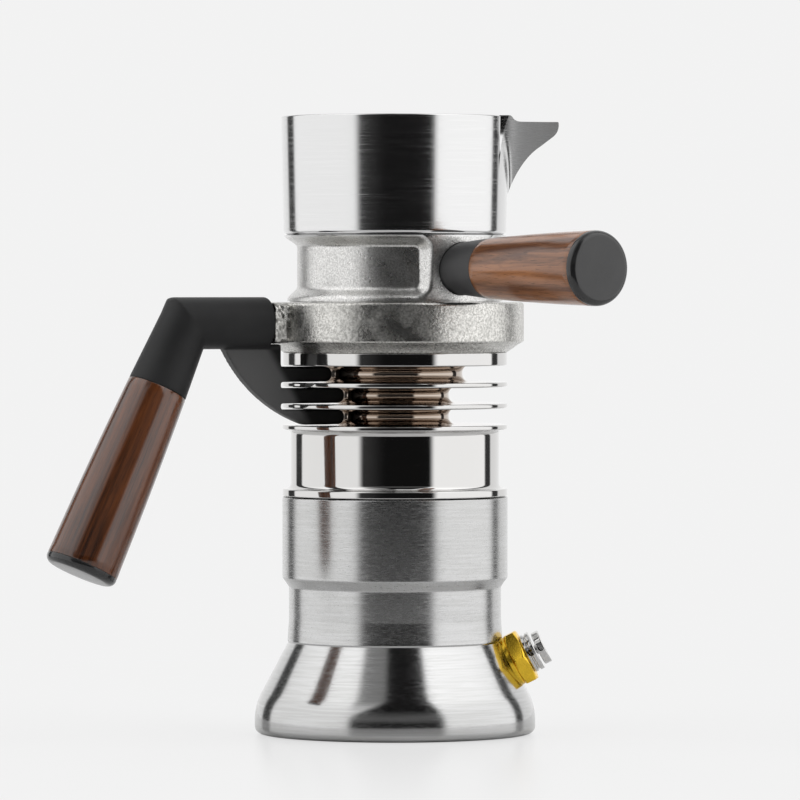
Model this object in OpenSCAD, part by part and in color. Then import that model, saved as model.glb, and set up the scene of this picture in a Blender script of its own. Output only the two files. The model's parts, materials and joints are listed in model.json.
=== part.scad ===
// Stovetop espresso maker: a flared boiler, a finned heat-exchanger unit with a brew ring,
// and a pouring cup, joined by two coarse screw threads, with two wooden handles.
// Millimetres, +Z up, origin at the centre of the boiler's underside.

/* [Boiler] */
// Spread of the flared foot beyond the waist
foot_spread = 11.6; // [9:0.1:16]
// Radius that rounds the foot's lower edge
foot_edge_r = 2.5; // [1:0.5:3.5]
// Height of the straight foot band, which is also the floor's thickness
foot_band_h = 4; // [4:0.5:6]
// Radius of the curve between the foot band and the flare
foot_curve_r = 22; // [16:1:26]
// Height at which the flare meets the waist
flare_h = 31.4; // [29:0.2:36]
// Step from the waist out to the top of the flare
flare_step = 0.5; // [0.2:0.1:1.5]
// Height of the waist's lower, slightly tapered part
waist_taper_h = 7.4; // [4:0.2:12]
// Depth of the straight waist behind the collar
waist_step = 2.2; // [1:0.1:3]
// Height of the straight waist
waist_h = 10.8; // [8:0.2:20]
// Height of the chamfer under the collar
chamfer_h = 3.2; // [1:0.2:5]
// Height of the collar
collar_h = 27.2; // [26:0.2:34]
// Wall of the collar at the thread's root
collar_wall = 3.1; // [2.5:0.1:3.6]
// Width of the ledge that carries the boiler seal
ledge_w = 4; // [3:0.1:5]
// Wall of the flared foot
foot_wall = 5; // [4:0.2:6]

/* [Relief valve] */
// Turn of the relief valve about the upright axis
valve_turn = -4; // [-30:1:30]
// Height of the relief valve on the flare
valve_z = 24.4; // [22:0.2:27]
// Depth of the flat that is cut into the flare under the washer
valve_flat_depth = 0.9; // [0.8:0.1:1.2]
// Distance across the flats of the hex body
valve_hex_af = 17.6; // [15:0.2:18]
// Thickness of the hex body
valve_hex_h = 4.6; // [4:0.2:7]
// Outer radius of the sealing washer
valve_washer_r = 8.6; // [8:0.1:9.5]
// Thickness of the sealing washer
valve_washer_t = 1.7; // [1.6:0.1:2.4]
// Radius of the threaded shank
valve_shank_r = 5; // [4.8:0.1:5.5]
// Outer radius of the vented cap
valve_cap_r = 6.8; // [6.2:0.1:7.4]
// Height of the vented cap
valve_cap_h = 3.4; // [3:0.1:4.5]
// Radius of the pull head on the stem
valve_head_r = 5.8; // [4.5:0.1:6.4]
// Thickness of the pull head
valve_head_h = 2.6; // [2:0.1:4]
// Travel of the relief stem
valve_lift = 1.5; // [1:0.1:2]

/* [Screw threads] */
// Rise in one turn, the same on both threads
thread_lead = 12; // [8:1:16]
// Number of thread starts
thread_starts = 4; // [3:1:4]
// Height of a thread ridge
thread_depth = 1; // [0.8:0.1:1.2]
// Radial play between a ridge and the opposite root
thread_play = 0.4; // [0.35:0.05:0.5]

/* [Finned body] */
// Height of the flange above the seam
flange_h = 2.5; // [2:0.1:5]
// Length of the spigot below the seam
spigot_len = 18; // [16:0.5:20]
// Wall of the spigot
spigot_wall = 4.2; // [3.4:0.1:4.4]
// Depth of the polished barrel behind the fins
barrel_step = 2.8; // [2:0.1:3.5]
// Height of the polished barrel
barrel_h = 20; // [17:0.2:26]
// Radius of the coves at both ends of the barrel
barrel_cove_r = 1.8; // [0.5:0.1:2]
// Step from the thick band out to the fins and the flange
fin_step = 0.1; // [0:0.1:1]
// Thickness of a fin
fin_t = 1.6; // [1.2:0.1:2]
// Gap between fins
fin_gap = 5.6; // [5:0.1:7]
// Radius at the bottom of the lower grooves
groove_low_r = 18.2; // [17.8:0.1:20]
// Radius at the bottom of the top groove
groove_top_r = 22.8; // [22:0.1:24]
// Height of the thick band over the fins
band_h = 4.5; // [4:0.1:6]
// Wall of the thick band round the basket's tube
band_wall = 5.5; // [4.5:0.1:7]
// Thickness of the partition under the coil chamber
partition_t = 5.5; // [5:0.5:7]
// Radius of the coil chamber
chamber_r = 14; // [13.6:0.1:14.4]
// Thickness of the floor under the basket recess
recess_floor_t = 2; // [1.6:0.1:2.5]

/* [Regulator and coil] */
// Distance across the flats of the regulator's hex
regulator_hex_af = 17; // [16:0.5:20]
// Height of the regulator's hex
regulator_hex_h = 5; // [4:0.5:6]
// Radius of the regulator's thread
regulator_r = 7; // [6.6:0.1:7.5]
// Length of the regulator above the partition
regulator_neck_h = 5; // [4:0.5:6]
// Travel of the regulator poppet
regulator_lift = 1.5; // [1:0.1:2]
// Outer radius of the dip tube
dip_tube_r = 3; // [2.6:0.1:3.2]
// Wall of the dip tube
dip_tube_wall = 0.8; // [0.6:0.1:1]
// Gap between the dip tube and the boiler floor
dip_tube_gap = 3; // [2:0.5:6]
// Radius of the exchanger tube
coil_tube_r = 1.6; // [1.2:0.1:1.8]
// Turns of the exchanger coil
coil_turns = 3; // [2:0.25:3]
// Thickness of the chamber lid
lid_t = 4.6; // [4:0.1:5]
// Radius of the chamber lid
lid_r = 17.4; // [17.2:0.1:18]

/* [Brew ring] */
// Wall of the cast ring round its threaded bore
ring_wall = 6.6; // [6:0.1:9]
// Height of the cone under the ring
ring_cone_h = 3; // [2:0.1:5]
// Width of the lip between that cone and the ring's side
ring_lip = 1.2; // [1:0.1:2.6]
// Height of the ring
ring_h = 13.8; // [13:0.1:18]
// Thickness of the channel floor above the cone
ring_floor_t = 0.6; // [0.4:0.1:1.2]
// Reach of the square pad that the arm meets, beyond the ring's side
pad_reach = 4.4; // [3:0.1:6]
// Half width of that pad
pad_half_w = 7.8; // [7:0.1:8.4]
// Step from the ring's top and bottom in to that pad's
pad_trim = 0.4; // [0.3:0.1:0.8]

/* [Brew group] */
// Outer radius of the filter basket
basket_r = 29.2; // [28:0.1:29.6]
// Depth of the basket under its rim
basket_h = 13.7; // [12:0.1:15]
// Wall of the basket
basket_wall = 0.8; // [0.6:0.1:1.2]
// Thickness of the basket's rim
basket_rim_t = 1; // [0.8:0.1:1.4]
// Wall of the tube that the basket hangs in
upstand_wall = 2.9; // [2.4:0.1:3]
// Thickness of the brew seal
brew_seal_t = 2.6; // [2:0.1:3.2]
// Thickness of the boiler seal
boiler_seal_t = 2.5; // [2:0.1:3.5]
// Thickness of the perforated screen
screen_t = 0.8; // [0.6:0.1:1.2]
// Overlap of the screen past the basket's side
screen_overlap = 1; // [0.6:0.1:1.8]
// Rings of holes in the basket and the screen
hole_rings = 4; // [3:1:5]
// Radius of one hole
hole_r = 0.6; // [0.4:0.1:0.8]

/* [Cup] */
// Wall of the cup's threaded spigot
cup_spigot_wall = 2.7; // [2.3:0.1:3.3]
// Step from that spigot out to the neck's foot
neck_foot_step = 0.8; // [0.2:0.1:2.4]
// Depth of the neck's waist behind its foot
neck_waist = 3.3; // [2.4:0.1:3.9]
// Thickness of the neck's foot
neck_foot_h = 0.8; // [0.4:0.1:2]
// Height from the seam above the ring to the cup
neck_h = 21.8; // [21:0.2:26]
// Wall of the neck
neck_wall = 4.3; // [3.8:0.1:5]
// Radius of the cove under the cup
neck_cove_r = 2.6; // [1.5:0.1:3]
// Radius of the cup's rounded lower edge
cup_edge_r = 2; // [1:0.1:3]
// Height of the cup
cup_h = 40.6; // [34:0.2:60]
// Widening of the cup from its lower edge to its rim
cup_flare = 0.8; // [0.3:0.1:4]
// Wall of the cup
cup_wall = 2; // [1.6:0.1:2.4]
// Thickness of the cup's floor over the collecting cone
cup_floor_t = 4; // [3:0.1:5]
// Height of the collecting cone
collector_h = 5; // [4:0.1:6]
// Outer radius of the outlet post
post_r = 5; // [4.4:0.1:6]
// Height of the outlet post above the floor
post_h = 22; // [16:0.5:26]
// Wall of the outlet post
post_wall = 2.4; // [1.8:0.1:3]
// Step from the outlet post in to the neck that it is set with
post_step = 1; // [0.5:0.1:1.5]

/* [Spout] */
// Turn of the spout about the upright axis
spout_turn = 0; // [-20:1:20]
// Length of the spout beyond the rim
spout_len = 16.8; // [14:0.1:19]
// Height of the spout from its root to the rim
spout_h = 25; // [22:0.2:27]
// Drop of the spout's top edge below the rim
spout_drop = 2; // [1:0.1:3]
// Half width of the spout at the cup
spout_half_w = 13; // [11:0.2:13]
// Radius that rounds the tip, seen from the side
spout_nose_r = 4.7; // [4:0.1:5.4]
// Drop of that round tip's middle below the top edge
spout_nose_drop = 1.2; // [0.6:0.1:2]
// Length of the tip, from the end of the hollow curve
spout_nose_run = 8.3; // [7.4:0.1:9]
// Slope of the spout's two flanks
spout_flank = 60; // [55:1:62]
// Radius of the hollow curve under the spout
spout_under_r = 22.3; // [21:0.1:24]
// Distance from the cup's rim out to the middle of that curve
spout_under_run = 17.5; // [16:0.1:18.5]
// Wall of the spout
spout_wall = 1.6; // [1.4:0.1:2]

/* [Handles] */
// Turn of the short handle about the upright axis
handle_turn = -52.5; // [-70:0.5:-30]
// Half width of the block that breaks the neck's waist at the short handle
boss_half_w = 12.5; // [11.6:0.1:14]
// Room round the ferrule in the seat that is sunk into that block
seat_gap = 0.6; // [0.5:0.1:1.2]
// Wall left between that seat and the neck's bore
seat_wall = 2.2; // [1.8:0.1:3]
// Length of the black ferrule
ferrule_len = 22; // [18:0.2:28]
// Radius that rounds the ferrule's end
ferrule_edge_r = 1.6; // [1:0.1:3]
// Radius of the ferrule at the boss, and of the elbow arm
arm_r = 8.7; // [8:0.1:9]
// Radius of both grips where they meet black metal
grip_r = 10.1; // [9.6:0.1:11]
// Radius of both grips at the end
grip_end_r = 12.3; // [11.5:0.1:14]
// Length of the short handle's grip
handle_grip_len = 53.8; // [44:0.2:70]
// Length of the elbow handle's grip
elbow_grip_len = 64.2; // [50:0.2:80]
// Thickness of an end cap
end_cap_t = 3; // [2.6:0.1:6]
// Radius that rounds an end cap's edge
end_cap_edge_r = 1.6; // [0.8:0.1:2]
// Radius of the threaded rods in both handles
rod_r = 3; // [2.5:0.1:3.5]
// Turn of the elbow handle about the upright axis
elbow_turn = 206; // [190:1:215]
// Length of the arm from the ring's pad to the elbow's corner
arm_len = 29.7; // [25:0.1:37]
// Lean of the elbow's grip from upright
elbow_lean = 24.9; // [15:0.1:30]
// Length of black metal from the elbow's corner to the grip
elbow_drop = 24; // [20:0.1:30]
// Radius of the stud that carries the arm
arm_stud_r = 4; // [3.5:0.1:4.5]
// Thickness of the web under the arm
web_t = 4.4; // [3.5:0.1:5.5]
// Room between the fins and the web's plate, which only its fingers bridge
plate_gap = 5.3; // [4:0.1:7]
// Room between a finger's tip and the bottom of its groove
finger_gap = 3.8; // [0.5:0.1:6]
// Radius of the web's curved edge
web_curve_r = 51.1; // [49:0.1:53]
// Distance from the fins' edge in to the centre of that curve
web_centre_in = 19.7; // [18:0.1:21]
// Height of that centre above the arm's middle
web_centre_rise = 14.3; // [13:0.1:16]

/* [Clearances] */
// Gap at the two visible screw seams
seam_gap = 0.4; // [0.2:0.05:0.6]
// Side clearance between pieces that slide past each other
slide_gap = 0.4; // [0.3:0.05:0.5]
// Radial clearance of fixed pins, rods and threads
fit_gap = 0.05; // [0.02:0.01:0.08]
// Room between the web's fingers and the fins
web_gap = 0.2; // [0.1:0.05:0.5]

/* [Hidden] */
$fn = 96;
// A cut runs this far past the face that it opens
past = 1;
// Play at a valve seat, so that the two faces only just part
seat_play = 0.02;

// Radii that follow the basket outwards
recess_r = basket_r + slide_gap;
upstand_r = recess_r + upstand_wall;
band_r = upstand_r + band_wall;
fin_r = band_r + fin_step;
flange_r = fin_r;
barrel_r = fin_r - barrel_step;
collar_r = flange_r;
waist_r = collar_r - waist_step;
flare_top_r = waist_r + flare_step;
foot_r = waist_r + foot_spread;

// Levels of the boiler
waist_z = flare_h + waist_taper_h;
chamfer_z = waist_z + waist_h;
collar_z = chamfer_z + chamfer_h;
mouth_z = collar_z + collar_h;
thread_root_r = collar_r - collar_wall;
water_r = thread_root_r - ledge_w;
// The straight flare is the tangent from its top to the foot's curve
foot_curve_at = [foot_r - foot_curve_r, foot_band_h];
flare_chord = [flare_top_r, flare_h] - foot_curve_at;
flare_tilt = atan2(flare_chord[1], flare_chord[0]) - acos(foot_curve_r / norm(flare_chord));
inner_curve_r = foot_curve_r - foot_wall;
inner_curve_end = foot_curve_at + inner_curve_r * [cos(flare_tilt), sin(flare_tilt)];
inner_flare_z = inner_curve_end[1] + (inner_curve_end[0] - water_r) / tan(flare_tilt);

// Levels of the finned body
seam_z = mouth_z + seam_gap;
flange_z = seam_z + flange_h;
fin_pitch = fin_t + fin_gap;
fin_z = flange_z + barrel_h;
fin_count = 3;
band_z = fin_z + fin_count * fin_pitch;
body_top_z = band_z + band_h;
spigot_r = thread_root_r - thread_depth - thread_play;
spigot_z = seam_z - spigot_len;
seal_ledge_z = spigot_z - boiler_seal_t;
steam_r = spigot_r - spigot_wall;
partition_z = fin_z - partition_t;
recess_z = band_z + recess_floor_t;
lid_z = recess_z - lid_t - slide_gap;
chamber_seal_t = 1.2;
chamber_seal_z = lid_z - chamber_seal_t;

// Levels of the brew group and the ring
basket_floor_z = recess_z + 2 * slide_gap;
basket_rim_z = basket_floor_z + basket_h;
basket_rim_r = upstand_r - slide_gap / 2;
seal_z = basket_rim_z + basket_rim_t;
ceiling_z = seal_z + brew_seal_t;
ring_z = body_top_z + ring_cone_h;
ring_top_z = ring_z + ring_h;
channel_z = ring_z + ring_floor_t;
cup_spigot_bore_r = upstand_r + slide_gap;
cup_spigot_r = cup_spigot_bore_r + cup_spigot_wall;
ring_bore_r = cup_spigot_r + thread_depth + thread_play;
ring_r = ring_bore_r + ring_wall;
ring_cone_r = ring_r - ring_lip;
pad_r = ring_r + pad_reach;
plate_r = fin_r + plate_gap;
web_centre_r = fin_r - web_centre_in;
elbow_r = pad_r + arm_len;
screen_r = basket_r + screen_overlap;

// Levels of the cup
joint_z = ring_top_z + seam_gap;
cup_spigot_z = channel_z + 2 * slide_gap;
cup_z = joint_z + neck_h;
rim_z = cup_z + cup_h;
neck_foot_r = cup_spigot_r + neck_foot_step;
neck_r = neck_foot_r - neck_waist;
cup_low_r = neck_r + neck_cove_r + cup_edge_r;
cup_rim_r = cup_low_r + cup_flare;
spout_reach = cup_rim_r + spout_len;
spout_top_z = rim_z - spout_drop;
collector_z = ceiling_z + screen_t + collector_h;
cup_floor_z = collector_z + cup_floor_t;
neck_bore_r = neck_r - neck_wall;
post_neck_r = post_r - post_step;
post_bore_r = post_r - post_wall;
handle_z = joint_z + neck_h / 2;
arm_z = ring_z + ring_h / 2;

// Places along the short handle, from the upright axis
ferrule_s = neck_bore_r + seat_wall;
seat_r = arm_r + seat_gap;
handle_grip_s = ferrule_s + ferrule_len;
handle_end_s = handle_grip_s + handle_grip_len;
// Places along the elbow's grip, from the elbow's corner
elbow_end_s = elbow_drop + elbow_grip_len;
// Fixings that both handles share
nut_r = 2 * rod_r;
nut_h = 5;
nut_cover = 3;
nut_pocket_h = nut_h + nut_cover;
cap_plug_h = 2;
grip_swell = 0.12;
// Blind wall left in front of a stud's end
stud_wall = 1;
arm_stud_seat_r = ring_bore_r + stud_wall;
arm_stud_end_r = elbow_r - arm_r;
handle_stud_s = neck_bore_r + stud_wall;
set_screw_r = 2;
set_screw_key_h = 2;

// Relief valve, along its own axis from the flat on the flare
valve_on_flare_r = foot_curve_at[0] + foot_curve_r * cos(flare_tilt)
    - (valve_z - foot_curve_at[1] - foot_curve_r * sin(flare_tilt)) * tan(flare_tilt);
valve_hex_s = valve_washer_t;
valve_cap_gap = 0.2;
valve_cap_s = valve_hex_s + valve_hex_h + valve_cap_gap;
valve_cap_wall = 1.4;
valve_cap_top_s = valve_cap_s + valve_cap_h;
valve_head_gap = 0.6;
valve_head_s = valve_cap_top_s + valve_head_gap;
valve_seat_s = -3.2;
valve_inner_s = -foot_wall - valve_head_gap;
valve_shank_wall = 1;
valve_chamber_r = valve_shank_r - valve_shank_wall;
valve_inlet_r = valve_chamber_r / 2;
valve_stem_r = 1.4;
valve_poppet_h = 1.6;
valve_wire_r = 0.35;
valve_spring_low = valve_seat_s + seat_play + valve_poppet_h;
valve_spring_high = valve_cap_top_s - valve_cap_wall;

// Regulator, on the upright axis
regulator_hex_z = partition_z - regulator_hex_h;
regulator_nipple_h = 7;
regulator_foot_z = regulator_hex_z - regulator_nipple_h;
regulator_top_z = fin_z + regulator_neck_h;
regulator_wall = 2.8;
regulator_chamber_r = regulator_r - regulator_wall;
regulator_seat_t = 1.5;
regulator_seat_z = regulator_hex_z + regulator_seat_t;
regulator_nipple_wall = 1.8;
regulator_inlet_r = dip_tube_r - dip_tube_wall;
regulator_stem_r = 1.3;
regulator_poppet_h = 2.4;
regulator_wire_r = 0.4;
adjuster_h = 3.5;
adjuster_z = regulator_top_z - adjuster_h;
regulator_spring_low = regulator_seat_z + seat_play + regulator_poppet_h;
dip_socket_h = 4;

// Colours as the pieces look
polished = [0.82, 0.81, 0.79];
brushed = [0.7, 0.7, 0.69];
cast = [0.66, 0.65, 0.63];
black = [0.13, 0.13, 0.14];
walnut = [0.36, 0.2, 0.11];
brass = [0.82, 0.62, 0.16];
rubber = [0.85, 0.83, 0.78];

// Points on an arc about a centre, from one angle to another
function arc(centre, r, from, to, steps = 8) =
    [for (i = [0:steps]) let (a = from + (to - from) * i / steps) centre + r * [cos(a), sin(a)]];

// Triangles of a swept tube with the given number of rings and of points in a ring
function sweep_faces(rings, sides) = concat(
    [for (i = [0:rings - 2]) for (j = [0:sides - 1])
        [i * sides + j, i * sides + (j + 1) % sides, (i + 1) * sides + (j + 1) % sides]],
    [for (i = [0:rings - 2]) for (j = [0:sides - 1])
        [i * sides + j, (i + 1) * sides + (j + 1) % sides, (i + 1) * sides + j]],
    [for (j = [1:sides - 2]) [0, j + 1, j]],
    [for (j = [1:sides - 2]) [(rings - 1) * sides, (rings - 1) * sides + j, (rings - 1) * sides + j + 1]]);

// Middle of a helix, from z0 to z1
function helix(coil_r, z0, z1, turns, i, steps) =
    let (a = 360 * turns * i / steps) [coil_r * cos(a), coil_r * sin(a), z0 + (z1 - z0) * i / steps];

// Least gap between neighbouring curls, measured on points along the helix
function curl_gap(coil_r, wire_r, z0, z1, turns, per_turn) =
    let (steps = ceil(turns * per_turn), p = [for (i = [0:steps]) helix(coil_r, z0, z1, turns, i, steps)])
    min([for (i = [0:steps - 1]) for (j = [i + 1:steps])
        if (j - i > per_turn / 2) norm(p[i] - p[j])]) - 2 * wire_r;

// A round wire or tube wound on a helix about Z
module wound(coil_r, wire_r, z0, z1, turns, per_turn, sides = 6) {
    steps = ceil(turns * per_turn);
    slope = atan2(z1 - z0, 2 * PI * coil_r * turns);
    points = [for (i = [0:steps]) for (j = [0:sides - 1])
        let (a = 360 * turns * i / steps, b = 360 * j / sides, up = wire_r * sin(b))
        helix(coil_r, z0, z1, turns, i, steps) + wire_r * cos(b) * [cos(a), sin(a), 0]
            + up * [sin(slope) * sin(a), -sin(slope) * cos(a), cos(slope)]];
    polyhedron(points, sweep_faces(steps + 1, sides));
}

// Helical ridges between two heights: foot_at is the radius that carries them, tip_at their crest
module ridges(foot_at, tip_at, z0, z1, phase) {
    pitch = thread_lead / thread_starts;
    foot_half = pitch / 4;
    tip_half = pitch / 9;
    per_turn = 40;
    turn = 360 * (z1 - z0 - 2 * foot_half) / thread_lead;
    steps = ceil(turn * per_turn / 360);
    // A ridge that stands outwards has its foot's chords just clear of the wall
    carry = foot_at < tip_at ? (foot_at + seat_play) / cos(180 / per_turn) : foot_at - seat_play;
    inner = min(carry, tip_at);
    outer = max(carry, tip_at);
    inner_half = carry < tip_at ? foot_half : tip_half;
    outer_half = carry < tip_at ? tip_half : foot_half;
    section = [[inner, -inner_half], [outer, -outer_half], [outer, outer_half], [inner, inner_half]];
    for (start = [0:thread_starts - 1]) {
        first = 360 * (start + phase + (foot_half - z0 % pitch) / pitch) / thread_starts;
        points = [for (i = [0:steps]) for (p = section)
            let (a = -first + turn * i / steps, z = z0 + foot_half + thread_lead * turn / 360 * i / steps)
            [p[0] * cos(a), p[0] * sin(a), z + p[1]]];
        polyhedron(points, sweep_faces(steps + 1, len(section)));
    }
}

// A body of revolution about Z from its half outline
module turned(outline) {
    rotate_extrude() polygon(outline);
}

// A plain ring
module washer(inner_r, outer_r, z0, t) {
    translate([0, 0, z0])
        difference() {
            cylinder(r = outer_r, h = t);
            translate([0, 0, -past]) cylinder(r = inner_r, h = t + 2 * past);
        }
}

// A hex prism by its width across flats
module hex(af, z0, h) {
    translate([0, 0, z0]) cylinder(d = af / cos(30), h = h, $fn = 6);
}

// Places children along a level radius, with their Z pointing outwards
module along_radius(turn, z) {
    rotate([0, 0, turn]) translate([0, 0, z]) rotate([0, 90, 0]) children();
}

// Places children along the elbow's leaning grip, with their Z pointing to its end
module along_elbow() {
    rotate([0, 0, elbow_turn]) translate([elbow_r, 0, arm_z]) rotate([0, 180 - elbow_lean, 0]) children();
}

// Places children on the relief valve's axis, from the flat on the flare
module along_valve() {
    rotate([0, 0, valve_turn]) translate([valve_on_flare_r, 0, valve_z]) rotate([0, 90 - flare_tilt, 0])
        translate([0, 0, -valve_flat_depth]) children();
}

// Hexagonal rings of small holes through a disc
module hole_field(field_r, z0, h) {
    step = field_r / (hole_rings + 0.5);
    translate([0, 0, z0]) cylinder(r = hole_r, h = h, $fn = 16);
    for (k = [1:hole_rings]) for (i = [0:6 * k - 1])
        rotate([0, 0, 60 * i / k]) translate([k * step, 0, z0]) cylinder(r = hole_r, h = h, $fn = 16);
}

// A grip's half outline with a slight swell, from s0 over its length
function grip_outline(s0, len) = concat([[0, s0], [grip_r, s0]],
    [for (i = [1:6]) let (t = i / 6, swell = t + grip_swell * sin(180 * t))
        [grip_r + (grip_end_r - grip_r) * swell, s0 + len * t]],
    [[0, s0 + len]]);

// A wooden grip with its rod hole and its nut pocket
module grip(s0, len) {
    difference() {
        turned(grip_outline(s0, len));
        translate([0, 0, s0 - past]) cylinder(r = rod_r + fit_gap, h = len + 2 * past);
        translate([0, 0, s0 + len - nut_pocket_h]) cylinder(r = nut_r + fit_gap, h = nut_pocket_h + past);
    }
}

// A slightly domed end cap with its plug
module end_cap(s0) {
    rim_r = grip_end_r - end_cap_edge_r;
    turned(concat([[0, s0 - cap_plug_h], [nut_r, s0 - cap_plug_h], [nut_r, s0], [grip_end_r, s0]],
        arc([rim_r, s0 + end_cap_t - end_cap_edge_r], end_cap_edge_r, 0, 90), [[0, s0 + end_cap_t]]));
}

// A rod from the black metal to the nut, along a grip
module grip_rod(from, grip_end) {
    translate([0, 0, from]) cylinder(r = rod_r, h = grip_end - nut_pocket_h + nut_h - from);
}

// A round nut with a slot, at the bottom of the grip's pocket
module grip_nut(grip_end) {
    s0 = grip_end - nut_pocket_h;
    difference() {
        translate([0, 0, s0]) cylinder(r = nut_r, h = nut_h);
        translate([0, 0, s0 - past]) cylinder(r = rod_r + fit_gap, h = nut_h + 2 * past);
        translate([-nut_r, -rod_r / 2, s0 + nut_h - past]) cube([2 * nut_r, rod_r, 2 * past]);
    }
}

module boiler_vessel() color(brushed) {
    outside = concat([[0, 0]],
        arc([foot_r - foot_edge_r, foot_edge_r], foot_edge_r, -90, 0, 5),
        arc(foot_curve_at, foot_curve_r, 0, flare_tilt, 10),
        [[flare_top_r, flare_h], [waist_r, waist_z], [waist_r, chamfer_z], [collar_r, collar_z],
            [collar_r, mouth_z], [0, mouth_z]]);
    inside = concat([[0, foot_band_h]],
        arc(foot_curve_at, inner_curve_r, 0, flare_tilt, 8),
        [[water_r, inner_flare_z], [water_r, seal_ledge_z], [thread_root_r, seal_ledge_z],
            [thread_root_r, mouth_z + past], [0, mouth_z + past]]);
    difference() {
        turned(outside);
        turned(inside);
        along_valve() cylinder(r = valve_washer_r + slide_gap, h = valve_washer_r);
        along_valve() translate([0, 0, valve_inner_s - past])
            cylinder(r = valve_shank_r + fit_gap, h = past - valve_inner_s + past);
    }
}

module boiler_thread() color(brushed)
    ridges(thread_root_r, thread_root_r - thread_depth, spigot_z + past, mouth_z - past, 0);

module relief_washer() color(brass) along_valve()
    washer(valve_shank_r + fit_gap, valve_washer_r, 0, valve_washer_t);

module relief_body() color(brass) along_valve() difference() {
    union() {
        rotate([0, 0, 30]) hex(valve_hex_af, valve_hex_s, valve_hex_h);
        translate([0, 0, valve_inner_s]) cylinder(r = valve_shank_r, h = valve_spring_high - valve_inner_s);
    }
    translate([0, 0, valve_inner_s - past]) cylinder(r = valve_inlet_r, h = past - valve_inner_s);
    translate([0, 0, valve_seat_s])
        cylinder(r = valve_chamber_r, h = valve_spring_high - valve_seat_s + past);
}

module relief_cap() color(polished) along_valve() {
    vent_r = 0.6;
    difference() {
        translate([0, 0, valve_cap_s]) cylinder(r = valve_cap_r, h = valve_cap_h);
        translate([0, 0, valve_cap_s - past])
            cylinder(r = valve_shank_r + fit_gap, h = valve_spring_high - valve_cap_s + past);
        cylinder(r = valve_stem_r + slide_gap, h = valve_cap_top_s + past);
        for (i = [0:3]) rotate([0, 0, 90 * i]) translate([valve_chamber_r - 2 * vent_r, 0, valve_cap_s])
            cylinder(r = vent_r, h = valve_cap_h + past);
    }
}

module relief_spring() color(polished) along_valve() {
    coil_r = valve_chamber_r - valve_wire_r - slide_gap;
    low = valve_spring_low + valve_wire_r + fit_gap;
    high = valve_spring_high - valve_wire_r - fit_gap;
    echo(relief_spring_gap = curl_gap(coil_r, valve_wire_r, low, high, 4, 8));
    wound(coil_r, valve_wire_r, low, high, 4, 8);
}

module relief_stem() color(polished) along_valve() {
    poppet_s = valve_seat_s + seat_play;
    cross_r = 0.9;
    translate([0, 0, poppet_s]) cylinder(r = valve_chamber_r - slide_gap, h = valve_poppet_h);
    translate([0, 0, poppet_s]) cylinder(r = valve_stem_r, h = valve_head_s + past - poppet_s);
    difference() {
        translate([0, 0, valve_head_s]) cylinder(r = valve_head_r, h = valve_head_h);
        for (i = [0:1]) rotate([0, 0, 90 * i]) translate([0, 0, valve_head_s + valve_head_h / 2])
            rotate([90, 0, 0]) cylinder(r = cross_r, h = 2 * valve_head_r + 2 * past, center = true);
    }
}

// No wider than the spigot, so that it clears the boiler's thread
module boiler_seal() color(rubber)
    washer(steam_r, spigot_r, seal_ledge_z, boiler_seal_t);

// A groove over one of the fins, with a fully rounded bottom, or a finger that keeps the given gaps to it
module groove(k, inside = 0, short = 0) {
    bottom_r = k < fin_count - 1 ? groove_low_r : groove_top_r;
    low_z = fin_z + fin_t + k * fin_pitch;
    half = fin_gap / 2;
    translate([bottom_r + half + short, low_z + half]) circle(half - inside);
    translate([bottom_r + half + short, low_z + inside]) square([fin_r, fin_gap - 2 * inside]);
}

module finned_body() color(polished) {
    cove = barrel_cove_r;
    flange_cove = arc([barrel_r + cove, flange_z + cove], cove, 270, 180, 6);
    fin_cove = arc([barrel_r + cove, fin_z - cove], cove, 180, 90, 6);
    outside = concat([[0, spigot_z], [spigot_r, spigot_z], [spigot_r, seam_z], [flange_r, seam_z],
        [flange_r, flange_z]], flange_cove, fin_cove,
        [[fin_r, fin_z], [fin_r, band_z], [band_r, band_z], [band_r, body_top_z], [upstand_r, body_top_z],
            [upstand_r, basket_rim_z], [0, basket_rim_z]]);
    difference() {
        rotate_extrude() difference() {
            polygon(outside);
            for (k = [0:fin_count - 1]) groove(k);
        }
        translate([0, 0, spigot_z - past]) cylinder(r = steam_r, h = partition_z - spigot_z + past);
        translate([0, 0, partition_z - past])
            cylinder(r = regulator_r + fit_gap, h = partition_t + 2 * past);
        translate([0, 0, fin_z]) cylinder(r = chamber_r, h = recess_z - fin_z + past);
        translate([0, 0, chamber_seal_z])
            cylinder(r = lid_r + fit_gap, h = recess_z - chamber_seal_z + past);
        translate([0, 0, recess_z]) cylinder(r = recess_r, h = basket_rim_z - recess_z + past);
    }
}

module spigot_thread() color(polished)
    ridges(spigot_r, spigot_r + thread_depth, spigot_z + past, seam_z - 2 * past, 0.5);

module regulator_body() color(brass) difference() {
    union() {
        hex(regulator_hex_af, regulator_hex_z, regulator_hex_h);
        translate([0, 0, regulator_foot_z])
            cylinder(r = dip_tube_r + regulator_nipple_wall, h = regulator_nipple_h + past);
        translate([0, 0, regulator_hex_z]) cylinder(r = regulator_r, h = regulator_top_z - regulator_hex_z);
    }
    translate([0, 0, regulator_foot_z - past]) cylinder(r = dip_tube_r + fit_gap, h = dip_socket_h + past);
    translate([0, 0, regulator_foot_z])
        cylinder(r = regulator_inlet_r, h = regulator_seat_z - regulator_foot_z + past);
    translate([0, 0, regulator_seat_z])
        cylinder(r = regulator_chamber_r, h = regulator_top_z - regulator_seat_z + past);
}

module regulator_poppet() color(polished) {
    low = regulator_seat_z + seat_play;
    translate([0, 0, low]) cylinder(r = regulator_chamber_r - slide_gap, h = regulator_poppet_h);
    translate([0, 0, low]) cylinder(r = regulator_stem_r, h = adjuster_z + adjuster_h / 2 - low);
}

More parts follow.
